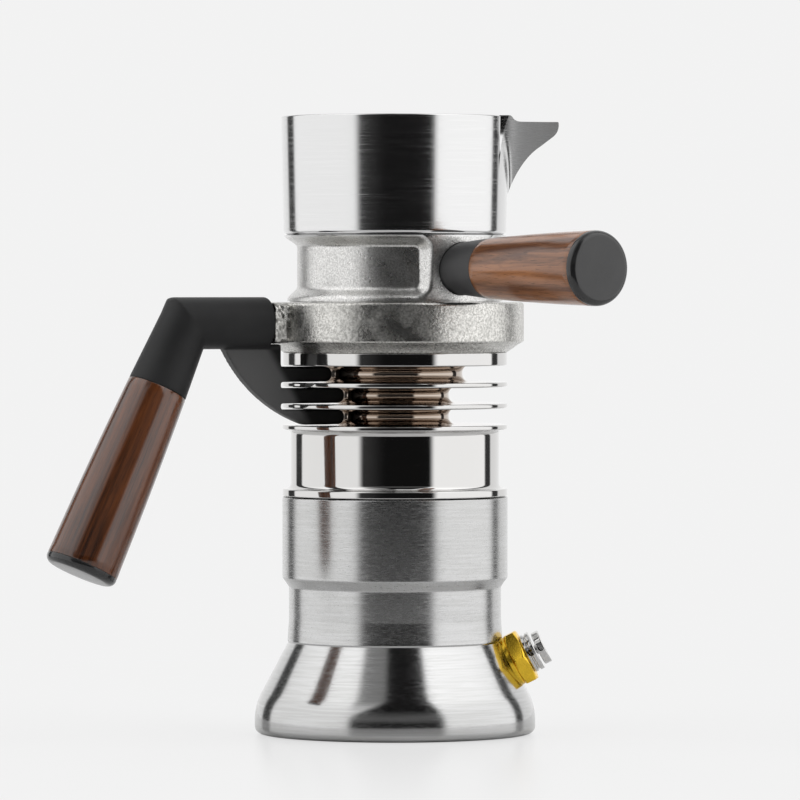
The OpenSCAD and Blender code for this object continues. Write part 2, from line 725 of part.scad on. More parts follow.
module regulator_spring() color(polished) {
    coil_r = regulator_chamber_r - regulator_wire_r - slide_gap;
    low = regulator_spring_low + regulator_wire_r + fit_gap;
    high = adjuster_z - regulator_wire_r - fit_gap;
    echo(regulator_spring_gap = curl_gap(coil_r, regulator_wire_r, low, high, 3, 8));
    wound(coil_r, regulator_wire_r, low, high, 3, 8);
}

module regulator_adjuster() color(brass) difference() {
    slot_w = 1.2;
    translate([0, 0, adjuster_z]) cylinder(r = regulator_chamber_r - fit_gap, h = adjuster_h);
    translate([0, 0, adjuster_z - past])
        cylinder(r = regulator_stem_r + slide_gap, h = adjuster_h + 2 * past);
    translate([-regulator_r, -slot_w / 2, regulator_top_z - past])
        cube([2 * regulator_r, slot_w, 2 * past]);
}

module dip_tube() color(polished) {
    low = foot_band_h + dip_tube_gap;
    washer(dip_tube_r - dip_tube_wall, dip_tube_r, low, regulator_foot_z + dip_socket_h - low);
}

module exchanger_coil() color(polished) {
    coil_r = chamber_r - coil_tube_r - slide_gap;
    low = fin_z + coil_tube_r + slide_gap;
    high = chamber_seal_z - coil_tube_r - slide_gap;
    echo(exchanger_coil_gap = curl_gap(coil_r, coil_tube_r, low, high, coil_turns, 24));
    wound(coil_r, coil_tube_r, low, high, coil_turns, 24);
}

module chamber_seal() color(rubber)
    washer(chamber_r + fit_gap, lid_r - slide_gap / 2, chamber_seal_z, chamber_seal_t);

module chamber_lid() color(brass) {
    outlet_r = 2;
    key_af = 8;
    difference() {
        translate([0, 0, lid_z]) cylinder(r = lid_r, h = lid_t);
        translate([0, 0, lid_z - past]) cylinder(r = outlet_r, h = lid_t + 2 * past);
        hex(key_af, lid_z + lid_t / 2, lid_t);
    }
}

module brew_ring() color(cast) {
    edge = 1;
    cone_normal = atan2(ring_cone_h, ring_cone_r - band_r) - 90;
    outside = concat([[upstand_r + fit_gap, body_top_z], [band_r, body_top_z], [ring_cone_r, ring_z]],
        arc([ring_r - edge, ring_z + edge], edge, cone_normal, 0, 4),
        arc([ring_r - edge, ring_top_z - edge], edge, 0, 90, 4),
        [[ring_bore_r, ring_top_z], [ring_bore_r, channel_z], [upstand_r + fit_gap, channel_z]]);
    difference() {
        union() {
            turned(outside);
            rotate([0, 0, elbow_turn]) translate([arm_stud_seat_r, -pad_half_w, ring_z + pad_trim])
                cube([pad_r - arm_stud_seat_r, 2 * pad_half_w, ring_h - 2 * pad_trim]);
        }
        along_radius(elbow_turn, arm_z) translate([0, 0, arm_stud_seat_r])
            cylinder(r = arm_stud_r + fit_gap, h = ring_r);
    }
}

module ring_thread() color(cast)
    ridges(ring_bore_r, ring_bore_r - thread_depth, cup_spigot_z + past / 2, ring_top_z - past / 2, 0);

module arm_stud() color(polished) along_radius(elbow_turn, arm_z)
    translate([0, 0, arm_stud_seat_r]) cylinder(r = arm_stud_r, h = arm_stud_end_r - arm_stud_seat_r);

// The web's outline in the arm's plane, distance from the axis and then height: a plate with a finger
// in each groove
module web_outline() {
    plate_z = fin_z + fin_t + web_gap;
    intersection() {
        translate([web_centre_r, arm_z + web_centre_rise]) circle(web_curve_r);
        union() {
            for (k = [0:fin_count - 1]) groove(k, web_gap, finger_gap);
            polygon([[plate_r, plate_z], [plate_r, ring_z - web_gap], [pad_r + web_gap, ring_z - web_gap],
                [pad_r + web_gap, arm_z], [2 * elbow_r, arm_z], [2 * elbow_r, plate_z]]);
        }
    }
}

module elbow_arm() color(black) {
    edge = 0.8;
    arm_end = arc([arm_r - edge, pad_r + edge], edge, -90, 0, 5);
    difference() {
        union() {
            along_radius(elbow_turn, arm_z)
                turned(concat([[0, pad_r]], arm_end, [[arm_r, elbow_r], [0, elbow_r]]));
            rotate([0, 0, elbow_turn]) translate([elbow_r, 0, arm_z]) sphere(r = arm_r);
            along_elbow() cylinder(r1 = arm_r, r2 = grip_r, h = elbow_drop);
            rotate([0, 0, elbow_turn]) rotate([90, 0, 0])
                linear_extrude(height = web_t, center = true) web_outline();
        }
        along_radius(elbow_turn, arm_z) translate([0, 0, pad_r - past])
            cylinder(r = arm_stud_r + fit_gap, h = arm_stud_end_r - pad_r + 2 * past);
        along_elbow() translate([0, 0, arm_r]) cylinder(r = rod_r + fit_gap, h = elbow_drop);
        set_screw_place() cylinder(r = set_screw_r + fit_gap, h = 2 * arm_r);
    }
}

// On the arm's far side, square to the stud
module set_screw_place() {
    rotate([0, 0, elbow_turn]) translate([(pad_r + elbow_r) / 2, 0, arm_z]) rotate([90, 0, 0])
        children();
}

module arm_set_screw() color(polished) set_screw_place() difference() {
    translate([0, 0, arm_stud_r + fit_gap]) cylinder(r = set_screw_r, h = arm_r - arm_stud_r - 2 * fit_gap);
    hex(set_screw_r, arm_r - set_screw_key_h, arm_r);
}

module elbow_grip() color(walnut) along_elbow() grip(elbow_drop, elbow_grip_len);

module elbow_grip_rod() color(polished) along_elbow() grip_rod(arm_r + past, elbow_end_s);

module elbow_grip_nut() color(polished) along_elbow() grip_nut(elbow_end_s);

module elbow_end_cap() color(black) along_elbow() end_cap(elbow_end_s);

module filter_basket() color(polished) difference() {
    union() {
        translate([0, 0, basket_floor_z]) cylinder(r = basket_r, h = basket_h + basket_rim_t);
        translate([0, 0, basket_rim_z]) cylinder(r = basket_rim_r, h = basket_rim_t);
    }
    translate([0, 0, basket_floor_z + basket_wall])
        cylinder(r = basket_r - basket_wall, h = basket_h + basket_rim_t);
    hole_field(basket_r - 2 * basket_wall, basket_floor_z - past, basket_wall + 2 * past);
}

module brew_seal() color(rubber)
    washer(basket_r - basket_wall, upstand_r, seal_z, brew_seal_t);

module brew_screen() color(polished) difference() {
    translate([0, 0, ceiling_z]) cylinder(r = screen_r, h = screen_t);
    hole_field(basket_r - 2 * basket_wall, ceiling_z - past, screen_t + 2 * past);
}

// The keeled space above the spout's two hollow flanks, with its walls moved in by the given depth
module spout_form(inset) {
    root_z = rim_z - spout_h;
    side = spout_half_w - inset;
    under_drop = sqrt(pow(spout_under_r, 2) - pow(spout_under_run, 2)) / cos(spout_flank);
    difference() {
        translate([cup_rim_r / 2, -side, root_z]) cube([spout_reach, 2 * side, spout_h + past]);
        for (hand = [-1, 1])
            translate([cup_rim_r + spout_under_run, 0, root_z - under_drop])
                rotate([hand * (90 - spout_flank), 0, 0])
                    cylinder(r = spout_under_r + inset, h = 8 * spout_h, center = true);
    }
}

// Height of the spout's keel at a distance from the axis
function keel_z(x) = rim_z - spout_h
    + (sqrt(pow(spout_under_r, 2) - pow(x - cup_rim_r - spout_under_run, 2))
        - sqrt(pow(spout_under_r, 2) - pow(spout_under_run, 2))) / cos(spout_flank);

// The spout's outline from the side, with a round tip and a straight run up to it, below the given height
module spout_side(top_z) {
    low = [cup_rim_r / 2, rim_z - spout_h];
    bend = [spout_reach - spout_nose_run, keel_z(spout_reach - spout_nose_run)];
    nose_at = [spout_reach - spout_nose_r, spout_top_z - spout_nose_drop];
    chord = nose_at - bend;
    rise = atan2(chord[1], chord[0]) - asin(spout_nose_r / norm(chord));
    touch = bend + sqrt(pow(norm(chord), 2) - pow(spout_nose_r, 2)) * [cos(rise), sin(rise)];
    rotate([90, 0, 0]) linear_extrude(height = 2 * cup_rim_r, center = true) intersection() {
        union() {
            polygon([low, [bend[0], low[1]], bend, touch, nose_at, [nose_at[0], top_z], [low[0], top_z]]);
            translate(nose_at) circle(spout_nose_r);
        }
        translate(low) square([spout_reach, top_z - low[1]]);
    }
}

// The spout's outside, or its channel when the walls are moved in
module spout(inset, top_z) rotate([0, 0, spout_turn]) intersection() {
    spout_form(inset);
    translate([-inset, 0, 0]) spout_side(top_z);
}

// The block that ends the neck's groove on both sides of the short handle
module handle_block() {
    top_z = cup_z + cup_edge_r;
    intersection() {
        turned([[neck_bore_r, joint_z], [neck_foot_r, joint_z], [cup_low_r, top_z], [neck_bore_r, top_z]]);
        rotate([0, 0, handle_turn]) translate([0, -boss_half_w, joint_z])
            cube([ring_r, 2 * boss_half_w, top_z - joint_z]);
    }
}

module cup_casting() color(cast) {
    foot_cove = neck_foot_r - neck_r;
    low_cove = arc([neck_foot_r, joint_z + neck_foot_h + foot_cove], foot_cove, 270, 180, 6);
    high_cove = arc([neck_r + neck_cove_r, cup_z - neck_cove_r], neck_cove_r, 180, 90, 6);
    low_edge = arc([neck_r + neck_cove_r, cup_z + cup_edge_r], cup_edge_r, -90, 0, 6);
    outside = concat([[0, cup_spigot_z], [cup_spigot_r, cup_spigot_z], [cup_spigot_r, joint_z],
        [neck_foot_r, joint_z]], low_cove, high_cove, low_edge, [[cup_rim_r, rim_z], [0, rim_z]]);
    inside = [[0, cup_floor_z], [neck_bore_r, cup_floor_z], [neck_bore_r, cup_z - cup_edge_r],
        [cup_low_r - cup_wall, cup_z + 2 * cup_edge_r], [cup_rim_r - cup_wall, rim_z],
        [cup_rim_r - cup_wall, rim_z + 2 * past], [0, rim_z + 2 * past]];
    brew_side = [[0, cup_spigot_z - past], [cup_spigot_bore_r, cup_spigot_z - past],
        [cup_spigot_bore_r, ceiling_z], [screen_r + fit_gap, ceiling_z],
        [screen_r + fit_gap, ceiling_z + screen_t],
        [basket_r - 2 * basket_wall, ceiling_z + screen_t], [post_bore_r, collector_z], [0, collector_z]];
    difference() {
        union() {
            turned(outside);
            handle_block();
            spout(0, spout_top_z);
        }
        turned(inside);
        turned(brew_side);
        spout(spout_wall, rim_z + past);
        along_radius(handle_turn, handle_z) translate([0, 0, ferrule_s])
            cylinder(r = seat_r, h = ferrule_len);
        along_radius(handle_turn, handle_z) translate([0, 0, handle_stud_s])
            cylinder(r = rod_r + fit_gap, h = ferrule_len);
        translate([0, 0, collector_z - past])
            cylinder(r = post_neck_r + fit_gap, h = cup_floor_t + 2 * past);
    }
}

module cup_thread() color(cast)
    ridges(cup_spigot_r, cup_spigot_r + thread_depth, cup_spigot_z + past / 2, ring_top_z - past, 0.5);

module outlet_post() color(polished) {
    port_r = 1.4;
    flange_t = 2;
    port_z = cup_floor_z + post_h - 3 * port_r;
    difference() {
        union() {
            translate([0, 0, collector_z]) cylinder(r = post_neck_r, h = cup_floor_t + past);
            translate([0, 0, cup_floor_z]) cylinder(r = post_r + flange_t, h = flange_t);
            translate([0, 0, cup_floor_z]) cylinder(r = post_r, h = post_h);
        }
        translate([0, 0, collector_z - past])
            cylinder(r = post_bore_r, h = port_z - collector_z + past + port_r);
        for (i = [0:1]) rotate([0, 0, 90 * i]) translate([0, 0, port_z]) rotate([90, 0, 0])
            cylinder(r = port_r, h = 4 * post_r, center = true);
    }
}

module handle_stud() color(polished) along_radius(handle_turn, handle_z)
    grip_rod(handle_stud_s, handle_end_s);

module handle_ferrule() color(black) along_radius(handle_turn, handle_z) {
    edge = ferrule_edge_r;
    difference() {
        turned(concat([[0, ferrule_s]], arc([arm_r - edge, ferrule_s + edge], edge, -90, 0, 5),
            [[grip_r, handle_grip_s], [0, handle_grip_s]]));
        translate([0, 0, ferrule_s - past]) cylinder(r = rod_r + fit_gap, h = ferrule_len + 2 * past);
    }
}

module handle_grip() color(walnut) along_radius(handle_turn, handle_z) grip(handle_grip_s, handle_grip_len);

module handle_nut() color(polished) along_radius(handle_turn, handle_z) grip_nut(handle_end_s);

module handle_end_cap() color(black) along_radius(handle_turn, handle_z) end_cap(handle_end_s);

boiler_vessel();
boiler_thread();
relief_washer();
relief_body();
relief_cap();
relief_spring();
relief_stem();
boiler_seal();
finned_body();
spigot_thread();
regulator_body();
regulator_poppet();
regulator_spring();
regulator_adjuster();
dip_tube();
exchanger_coil();
chamber_seal();
chamber_lid();
brew_ring();
ring_thread();
arm_stud();
elbow_arm();
arm_set_screw();
elbow_grip();
elbow_grip_rod();
elbow_grip_nut();
elbow_end_cap();
filter_basket();
brew_seal();
brew_screen();
cup_casting();
cup_thread();
outlet_post();
handle_stud();
handle_ferrule();
handle_grip();
handle_nut();
handle_end_cap();
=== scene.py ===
import json
import math
import bmesh
import bpy
from mathutils import Matrix, Vector, noise


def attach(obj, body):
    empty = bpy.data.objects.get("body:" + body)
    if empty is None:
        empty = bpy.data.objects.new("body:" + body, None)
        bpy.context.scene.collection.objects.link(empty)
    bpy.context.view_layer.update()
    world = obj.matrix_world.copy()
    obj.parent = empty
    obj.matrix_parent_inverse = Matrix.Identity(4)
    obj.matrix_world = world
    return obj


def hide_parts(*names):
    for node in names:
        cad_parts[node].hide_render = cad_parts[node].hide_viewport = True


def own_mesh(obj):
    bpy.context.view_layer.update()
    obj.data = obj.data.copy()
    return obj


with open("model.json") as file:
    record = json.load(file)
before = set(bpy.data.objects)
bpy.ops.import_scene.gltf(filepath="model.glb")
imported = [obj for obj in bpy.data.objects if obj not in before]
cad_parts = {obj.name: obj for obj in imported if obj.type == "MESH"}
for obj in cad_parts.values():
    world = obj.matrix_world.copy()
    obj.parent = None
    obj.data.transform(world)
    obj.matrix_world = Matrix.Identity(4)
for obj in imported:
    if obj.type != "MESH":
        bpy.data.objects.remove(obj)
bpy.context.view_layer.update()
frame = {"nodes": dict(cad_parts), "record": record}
mm = 0.001
crease = 38   # degrees from which an edge shows sharp
print("frame loaded:", len(frame["nodes"]), "nodes")


# mesh making, in millimetres until the mesh is stored

def turns(count, extra=()):
    # even angles round the axis, plus any that a cut needs
    every = [2 * math.pi * i / count for i in range(count)]
    every += [a % (2 * math.pi) for a in extra]
    every.sort()
    kept = [every[0]]
    for a in every[1:]:
        if a - kept[-1] > 0.0008:
            kept.append(a)
    return kept


def rounded(corners, steps=5, support=0.35, closed=True):
    # corners are (r, z, radius) along an outline
    points = []
    count = len(corners)
    for i, (r, z, radius) in enumerate(corners):
        here = Vector((r, z))
        back = (Vector(corners[i - 1][:2]) - here).normalized()
        ahead = (Vector(corners[(i + 1) % count][:2]) - here).normalized()
        turn = back.angle(ahead)
        if radius <= 0 or turn > math.pi - 0.02:
            points.append(here)
            continue
        reach = radius / math.tan(turn / 2)
        middle = here + (back + ahead).normalized() * radius / math.sin(turn / 2)
        first, last = here + back * reach - middle, here + ahead * reach - middle
        sweep = first.angle_signed(last)
        for k in range(steps + 1):
            a = -sweep * k / steps
            points.append(middle + Vector((first.x * math.cos(a) - first.y * math.sin(a),
                                           first.x * math.sin(a) + first.y * math.cos(a))))
    held = []
    for i, p in enumerate(points):
        after = points[(i + 1) % len(points)]
        span = (after - p).length
        held.append((p.x, p.y))
        if i == len(points) - 1 and not closed:
            break
        if span > 5 * support and (p.x > 1e-4 or after.x > 1e-4):   # rows that keep the long faces flat
            step = (after - p) * support / span
            held += [(p.x + step.x, p.y + step.y), (after.x - step.x, after.y - step.y)]
    return held


def arcPoints(centre, radius, start, end, steps):
    return [(centre[0] + radius * math.cos(math.radians(start + (end - start) * i / steps)),
             centre[1] + radius * math.sin(math.radians(start + (end - start) * i / steps)))
            for i in range(steps + 1)]


def storeMesh(name, verts, faces, sharp=crease, place=None):
    mesh = bpy.data.meshes.new(name)
    mesh.from_pydata([(x * mm, y * mm, z * mm) for x, y, z in verts], [], faces)
    work = bmesh.new()
    work.from_mesh(mesh)
    bmesh.ops.remove_doubles(work, verts=work.verts, dist=1e-7)
    bmesh.ops.recalc_face_normals(work, faces=work.faces)
    work.to_mesh(mesh)
    work.free()
    mesh.shade_smooth()
    mesh.set_sharp_from_angle(angle=math.radians(sharp))
    piece = bpy.data.objects.new(name, mesh)
    bpy.context.scene.collection.objects.link(piece)
    if place is not None:
        piece.matrix_world = place
    return piece


def lathe(name, outline, angles, shape=None, sharp=crease, place=None):
    verts, rows = [], []
    for r, z in outline:
        if r < 1e-4:
            rows.append([len(verts)] * len(angles))
            verts.append((0, 0, z))
            continue
        rows.append(range(len(verts), len(verts) + len(angles)))
        for a in angles:
            verts.append(shape(r, z, a) if shape else (r * math.cos(a), r * math.sin(a), z))
    faces = []
    count = len(angles)
    for i, row in enumerate(rows):
        after = rows[(i + 1) % len(rows)]
        for j in range(count):
            k = (j + 1) % count
            ring = []
            for v in (row[j], row[k], after[k], after[j]):
                if v not in ring:
                    ring.append(v)
            if len(ring) > 2:
                faces.append(ring)
    return storeMesh(name, verts, faces, sharp, place)


def tubeFaces(steps, sides):
    # two ends, then a round of four-sided faces for each step
    faces = [list(range(sides)), list(range(steps * sides, steps * sides + sides))]
    for i in range(steps):
        for j in range(sides):
            k = (j + 1) % sides
            faces.append([i * sides + j, i * sides + k, (i + 1) * sides + k, (i + 1) * sides + j])
    return faces


def wound(name, section, coilR, z0, z1, turnCount, perTurn, start=0, place=None):
    # section points are (out, up) from the middle of the wire
    steps = math.ceil(turnCount * perTurn)
    verts = []
    for i in range(steps + 1):
        a = start + 2 * math.pi * turnCount * i / steps
        z = z0 + (z1 - z0) * i / steps
        verts += [((coilR + p) * math.cos(a), (coilR + p) * math.sin(a), z + q) for p, q in section]
    return storeMesh(name, verts, tubeFaces(steps, len(section)), 50, place)


def circle(radius, sides):
    return [(radius * math.cos(2 * math.pi * i / sides), radius * math.sin(2 * math.pi * i / sides))
            for i in range(sides)]


def washerOutline(inner, outer, z0, thick, edge):
    z1 = z0 + thick
    return rounded([(inner, z0, edge), (outer, z0, edge), (outer, z1, edge), (inner, z1, edge)])


def rod(radius, z0, z1):
    return [(0, z0), (radius, z0), (radius, z1), (0, z1)]


def alongRadius(turn, z):
    # the piece's own Z points out from the axis
    return Matrix.Rotation(math.radians(turn), 4, "Z") @ Matrix.Translation((0, 0, z * mm)) @ \
        Matrix.Rotation(math.pi / 2, 4, "Y")


def keepResult(piece):
    # what the modifiers make takes the place of the mesh
    bpy.context.view_layer.update()
    made = bpy.data.meshes.new_from_object(piece.evaluated_get(bpy.context.evaluated_depsgraph_get()))
    piece.modifiers.clear()
    old = piece.data
    piece.data = made
    bpy.data.meshes.remove(old)
    made.shade_smooth()


def combine(piece, tool, how="DIFFERENCE"):
    # works the tool's solid into the piece and throws the tool away
    cut = piece.modifiers.new("cut", "BOOLEAN")
    cut.operation, cut.solver, cut.object = how, "EXACT", tool
    keepResult(piece)
    bpy.data.objects.remove(tool)
    piece.data.set_sharp_from_angle(angle=math.radians(crease))


def settle(piece, body, finish, slotName, *stoodFor):
    piece.data.materials.clear()
    piece.data.materials.append(finish)
    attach(piece, body)
    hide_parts(*stoodFor)


# node trees

class Wire:
    def __init__(self, owner, socket):
        self.owner, self.socket = owner, socket

    def sum(self, operation, first, second):
        return self.owner.add("ShaderNodeMath", {"operation": operation}, {0: first, 1: second})

    def __add__(self, other):
        return self.sum("ADD", self, other)

    def __sub__(self, other):
        return self.sum("SUBTRACT", self, other)

    def __rsub__(self, other):
        return self.sum("SUBTRACT", other, self)

    def __mul__(self, other):
        return self.sum("MULTIPLY", self, other)

    __radd__, __rmul__ = __add__, __mul__


class Finish:
    def __init__(self, name, holder=None):
        self.holder = holder or bpy.data.materials.new(name)
        self.holder.use_nodes = True
        self.tree = self.holder.node_tree
        self.skin = next((n for n in self.tree.nodes if n.type == "BSDF_PRINCIPLED"), None)

    def add(self, kind, settings=None, sockets=None, out=0):
        node = self.tree.nodes.new(kind)
        for key, value in (settings or {}).items():
            if key == "stops":
                ramp = node.color_ramp
                while len(ramp.elements) < len(value):
                    ramp.elements.new(0.5)
                for stop, (at, colour) in zip(ramp.elements, value):
                    stop.position, stop.color = at, colour
            else:
                setattr(node, key, value)
        self.feed(node, sockets or {})
        return Wire(self, node.outputs[out])

    def feed(self, node, sockets):
        for key, value in sockets.items():
            if isinstance(value, Wire):
                self.tree.links.new(value.socket, node.inputs[key])
            else:
                node.inputs[key].default_value = value

    def shade(self, **sockets):
        names = {"colour": "Base Color", "rough": "Roughness", "metal": "Metallic", "normal": "Normal",
                 "coat": "Coat Weight", "coatRough": "Coat Roughness", "coatIor": "Coat IOR",
                 "spec": "Specular IOR Level"}
        self.feed(self.skin, {names[k]: v for k, v in sockets.items()})
        return self.holder

    def place(self):
        return self.add("ShaderNodeTexCoord", {}, {}, 3)

    def stretched(self, by):
        return self.add("ShaderNodeVectorMath", {"operation": "MULTIPLY"}, {0: self.place(), 1: by})

    def axes(self, vector):
        node = self.add("ShaderNodeSeparateXYZ", {}, {0: vector}).socket.node
        return [Wire(self, s) for s in node.outputs]

    def height(self):
        return self.axes(self.place())[2]

    def fromAxis(self):
        flat = self.stretched((1.0, 1.0, 0.0))
        return self.add("ShaderNodeVectorMath", {"operation": "LENGTH"}, {0: flat}, 1)

    def grainOf(self, by, detail=2.0, rough=0.5, twist=0.0):
        return self.add("ShaderNodeTexNoise", {},
                        {"Vector": self.stretched(by), "Scale": 1.0, "Detail": detail, "Roughness": rough,
                         "Distortion": twist})

    def between(self, value, low, high, start=0.0, end=1.0):
        return self.add("ShaderNodeMapRange", {"interpolation_type": "SMOOTHSTEP"},
                        {"Value": value, "From Min": low, "From Max": high, "To Min": start, "To Max": end})

    def fade(self, value, low, high):
        return self.between(value, low, high, 1.0, 0.0)

    def band(self, value, low, full, still, high):
        return self.between(value, low, full) * self.fade(value, still, high)

    def blendOf(self, factor, first, second):
        return self.add("ShaderNodeMix", {"data_type": "RGBA"}, {0: factor, 6: first, 7: second}, 2)

    def rampOf(self, factor, stops):
        return self.add("ShaderNodeValToRGB", {"stops": stops}, {0: factor})

    def bumpOf(self, height, strength, depth):
        return self.add("ShaderNodeBump", {}, {"Height": height, "Strength": strength, "Distance": depth})


def tone(r, g=None, b=None):
    return (r, r if g is None else g, r if b is None else b, 1.0)


def dimmed(colour, by):
    return tone(*[c * by for c in colour[:3]])


# finishes

brushing = {"fine": 5200.0, "coarse": 1500.0, "round": 26.0, "scratch": 420.0}
# where a finish changes over its piece, in metres up or out from the axis
changes = {"flareTop": (0.03, 0.033), "grooveR": (0.031, 0.0348), "neckTop": (0.1672, 0.1684),
           "lipR": (0.0388, 0.04), "plateTop": (0.1296, 0.1304), "plateR": (0.068, 0.07),
           "combShadeR": (-0.0025, 0.0015)}


def brushedSteel(name, colour, rough, lift, marks, flare=None):
    f = Finish(name)
    b = brushing
    fine = f.grainOf((b["round"], b["round"], b["fine"]), 3.0, 0.6)
    coarse = f.grainOf((b["round"] * 2, b["round"] * 2, b["coarse"]), 2.0, 0.5)
    scratch = f.grainOf((b["scratch"], b["scratch"], b["fine"]), 2.0, 0.6)
    cloud = f.grainOf((38.0, 38.0, 22.0), 2.0, 0.5)
    streak = f.between(scratch, 0.35, 0.75)
    shade = f.blendOf(f.between(coarse * 0.6 + cloud * 0.4, 0.35, 0.65),
                      tone(colour * 0.93, colour * 0.93, colour * 0.92), tone(colour * 1.05))
    height = fine * 0.7 + scratch * 0.3
    base = f.between(f.height(), *changes["flareTop"], flare, rough) if flare else rough
    return f.shade(colour=shade, metal=1.0, rough=base + (streak - 0.5) * marks + (fine - 0.5) * 0.08,
                   normal=f.bumpOf(height, lift, 0.00002))


def polishedSteel(name, colour, rough, coreToneAndShade):
    f = Finish(name)
    turned = f.grainOf((18.0, 18.0, 4200.0), 2.0, 0.5)
    wipe = f.grainOf((60.0, 60.0, 60.0), 3.0, 0.6)
    # the groove floors take the core's warm tone, partly real colour and partly darkened as painted shade
    # between the fins
    inside = f.fade(f.fromAxis(), *changes["grooveR"]) * coreToneAndShade
    shade = f.blendOf(inside, tone(colour, colour * 0.99, colour * 0.975),
                      tone(colour * 0.76, colour * 0.65, colour * 0.56))
    uneven = f.between(wipe, 0.45, 0.75) * 0.035 + turned * 0.03
    return f.shade(colour=shade, metal=1.0, rough=rough + uneven, normal=f.bumpOf(turned, 0.05, 0.00001))


def castSkin(f, grainSize, depth):
    # pitted grains of an as-cast, blasted and tumbled skin
    size = 1 / grainSize
    cells = f.add("ShaderNodeTexVoronoi", {}, {"Vector": f.stretched((size, size, size)), "Scale": 1.0,
                                               "Randomness": 1.0})
    pits = f.grainOf((size * 1.6, size * 1.6, size * 1.6), 4.0, 0.62, 0.4)
    soft = f.grainOf((size * 0.16, size * 0.16, size * 0.16), 3.0, 0.55)
    height = pits * 0.75 + cells * 0.35 + soft * 1.1
    return pits, soft, f.bumpOf(height, 0.85, depth)


def castSteel(name):
    f = Finish(name)
    pits, soft, bump = castSkin(f, 0.0012, 0.0001)
    shade = f.blendOf(f.between(pits, 0.33, 0.66), tone(0.38, 0.375, 0.355), tone(0.72, 0.71, 0.68))
    return f.shade(colour=shade, metal=1.0, rough=0.24 + f.between(soft, 0.4, 0.65) * 0.12, normal=bump)


def cupSteel(name):
    # brushed cup over a cast neck, with the spout's rougher satin skin, whose colour is darkened as painted
    # shade
    f = Finish(name)
    pits, soft, bump = castSkin(f, 0.0008, 0.00008)
    fine = f.grainOf((24.0, 24.0, 5200.0), 3.0, 0.6)
    streak = f.between(f.grainOf((30.0, 30.0, 3200.0), 3.0, 0.65), 0.45, 0.72)
    neck = f.fade(f.height(), *changes["neckTop"])
    lip = f.between(f.fromAxis(), *changes["lipR"])
    brushed = f.bumpOf(fine, 0.04, 0.00002)
    normal = f.add("ShaderNodeMix", {"data_type": "VECTOR"}, {0: neck, 4: brushed, 5: bump}, 1)
    castTone = f.blendOf(f.between(pits, 0.33, 0.68), tone(0.46, 0.455, 0.445), tone(0.78, 0.775, 0.76))
    # out on the spout the colour drops to 0.28 as painted shade
    cupTone = f.blendOf(lip, f.blendOf(streak, tone(0.655), tone(0.69)), tone(0.28))
    shade = f.blendOf(neck, cupTone, castTone)
    cupRough = 0.125 + streak * 0.11 + lip * 0.14
    rough = cupRough * (1 - neck) + (0.21 + soft * 0.16) * neck
    return f.shade(colour=shade, metal=1.0, rough=rough, normal=normal)


def blackMetal(name, level, rough, spec, web=None):
    f = Finish(name)
    grain = f.grainOf((5200.0, 5200.0, 5200.0), 2.0, 0.55)
    cloud = f.grainOf((70.0, 70.0, 70.0), 3.0, 0.5)
    shade = f.blendOf(f.between(cloud, 0.35, 0.65), tone(level * 0.85, level * 0.85, level * 0.88),
                      tone(level * 1.15, level * 1.15, level * 1.18))
    if web:   # the plate under the arm is painted paler outside as painted sheen, and near black between the fins as painted shade
        z, radius = f.height(), f.fromAxis()
        plate = f.fade(z, *changes["plateTop"]) * f.fade(radius, *changes["plateR"])
        edge = 0.0478 - (0.129 - z) * 0.6   # the edge of the painted shadow leans inward as it goes down
        outer = f.between(radius - edge, *changes["combShadeR"])
        # painted shade (0.004) inside the edge, and the paler painted sheen of the plate outside it
        shade = f.blendOf(plate, shade, f.blendOf(outer, tone(0.004), tone(web)))
    return f.shade(colour=shade, metal=0.0, rough=rough + (cloud - 0.5) * 0.1 + (grain - 0.5) * 0.08,
                   normal=f.bumpOf(grain, 0.16, 0.00005), spec=spec)


def walnut(name, light, dark, wander, coat):
    # grain runs along the piece's own Z
    f = Finish(name)
    warp = f.grainOf((70.0, 70.0, 14.0), 2.0, 0.5)
    band = f.grainOf((210.0 + wander, 330.0, 13.0), 4.0, 0.6, 0.6)
    thread = f.grainOf((1300.0, 1300.0, 36.0), 3.0, 0.6)
    pore = f.grainOf((3600.0, 3600.0, 150.0), 2.0, 0.5)
    figure = f.between(band * 0.62 + warp * 0.24 + thread * 0.2, 0.38, 0.68)
    holes = f.between(pore, 0.58, 0.7)
    between = tone(*[d * 0.5 + l * 0.5 for d, l in zip(dark[:3], light[:3])])
    shade = f.rampOf(figure, [(0.0, dark), (0.45, between), (1.0, light)])
    deep = f.blendOf(holes * 0.55, shade, tone(0.018, 0.008, 0.003))
    return f.shade(colour=deep, metal=0.0, rough=0.36 + thread * 0.12 + holes * 0.15, spec=0.08,
                   coat=coat, coatRough=0.15, coatIor=1.75,
                   normal=f.bumpOf(thread * 0.35 - holes * 0.8, 0.16, 0.00008))


def machined(name, colour, rough):
    f = Finish(name)
    lines = f.grainOf((900.0, 900.0, 5000.0), 2.0, 0.55)
    cloud = f.grainOf((240.0, 240.0, 240.0), 2.0, 0.5)
    return f.shade(colour=f.blendOf(f.between(cloud, 0.3, 0.7), dimmed(colour, 0.88), colour), metal=1.0,
                   rough=rough + (lines - 0.5) * 0.1, normal=f.bumpOf(lines, 0.08, 0.00002))


def softRubber(name, colour):
    f = Finish(name)
    grain = f.grainOf((2600.0, 2600.0, 2600.0), 3.0, 0.55)
    cloud = f.grainOf((60.0, 60.0, 60.0), 2.0, 0.5)
    return f.shade(colour=f.blendOf(f.between(cloud, 0.3, 0.7), dimmed(colour, 0.9), colour), metal=0.0,
                   rough=0.5 + (cloud - 0.5) * 0.2, normal=f.bumpOf(grain, 0.12, 0.00005))


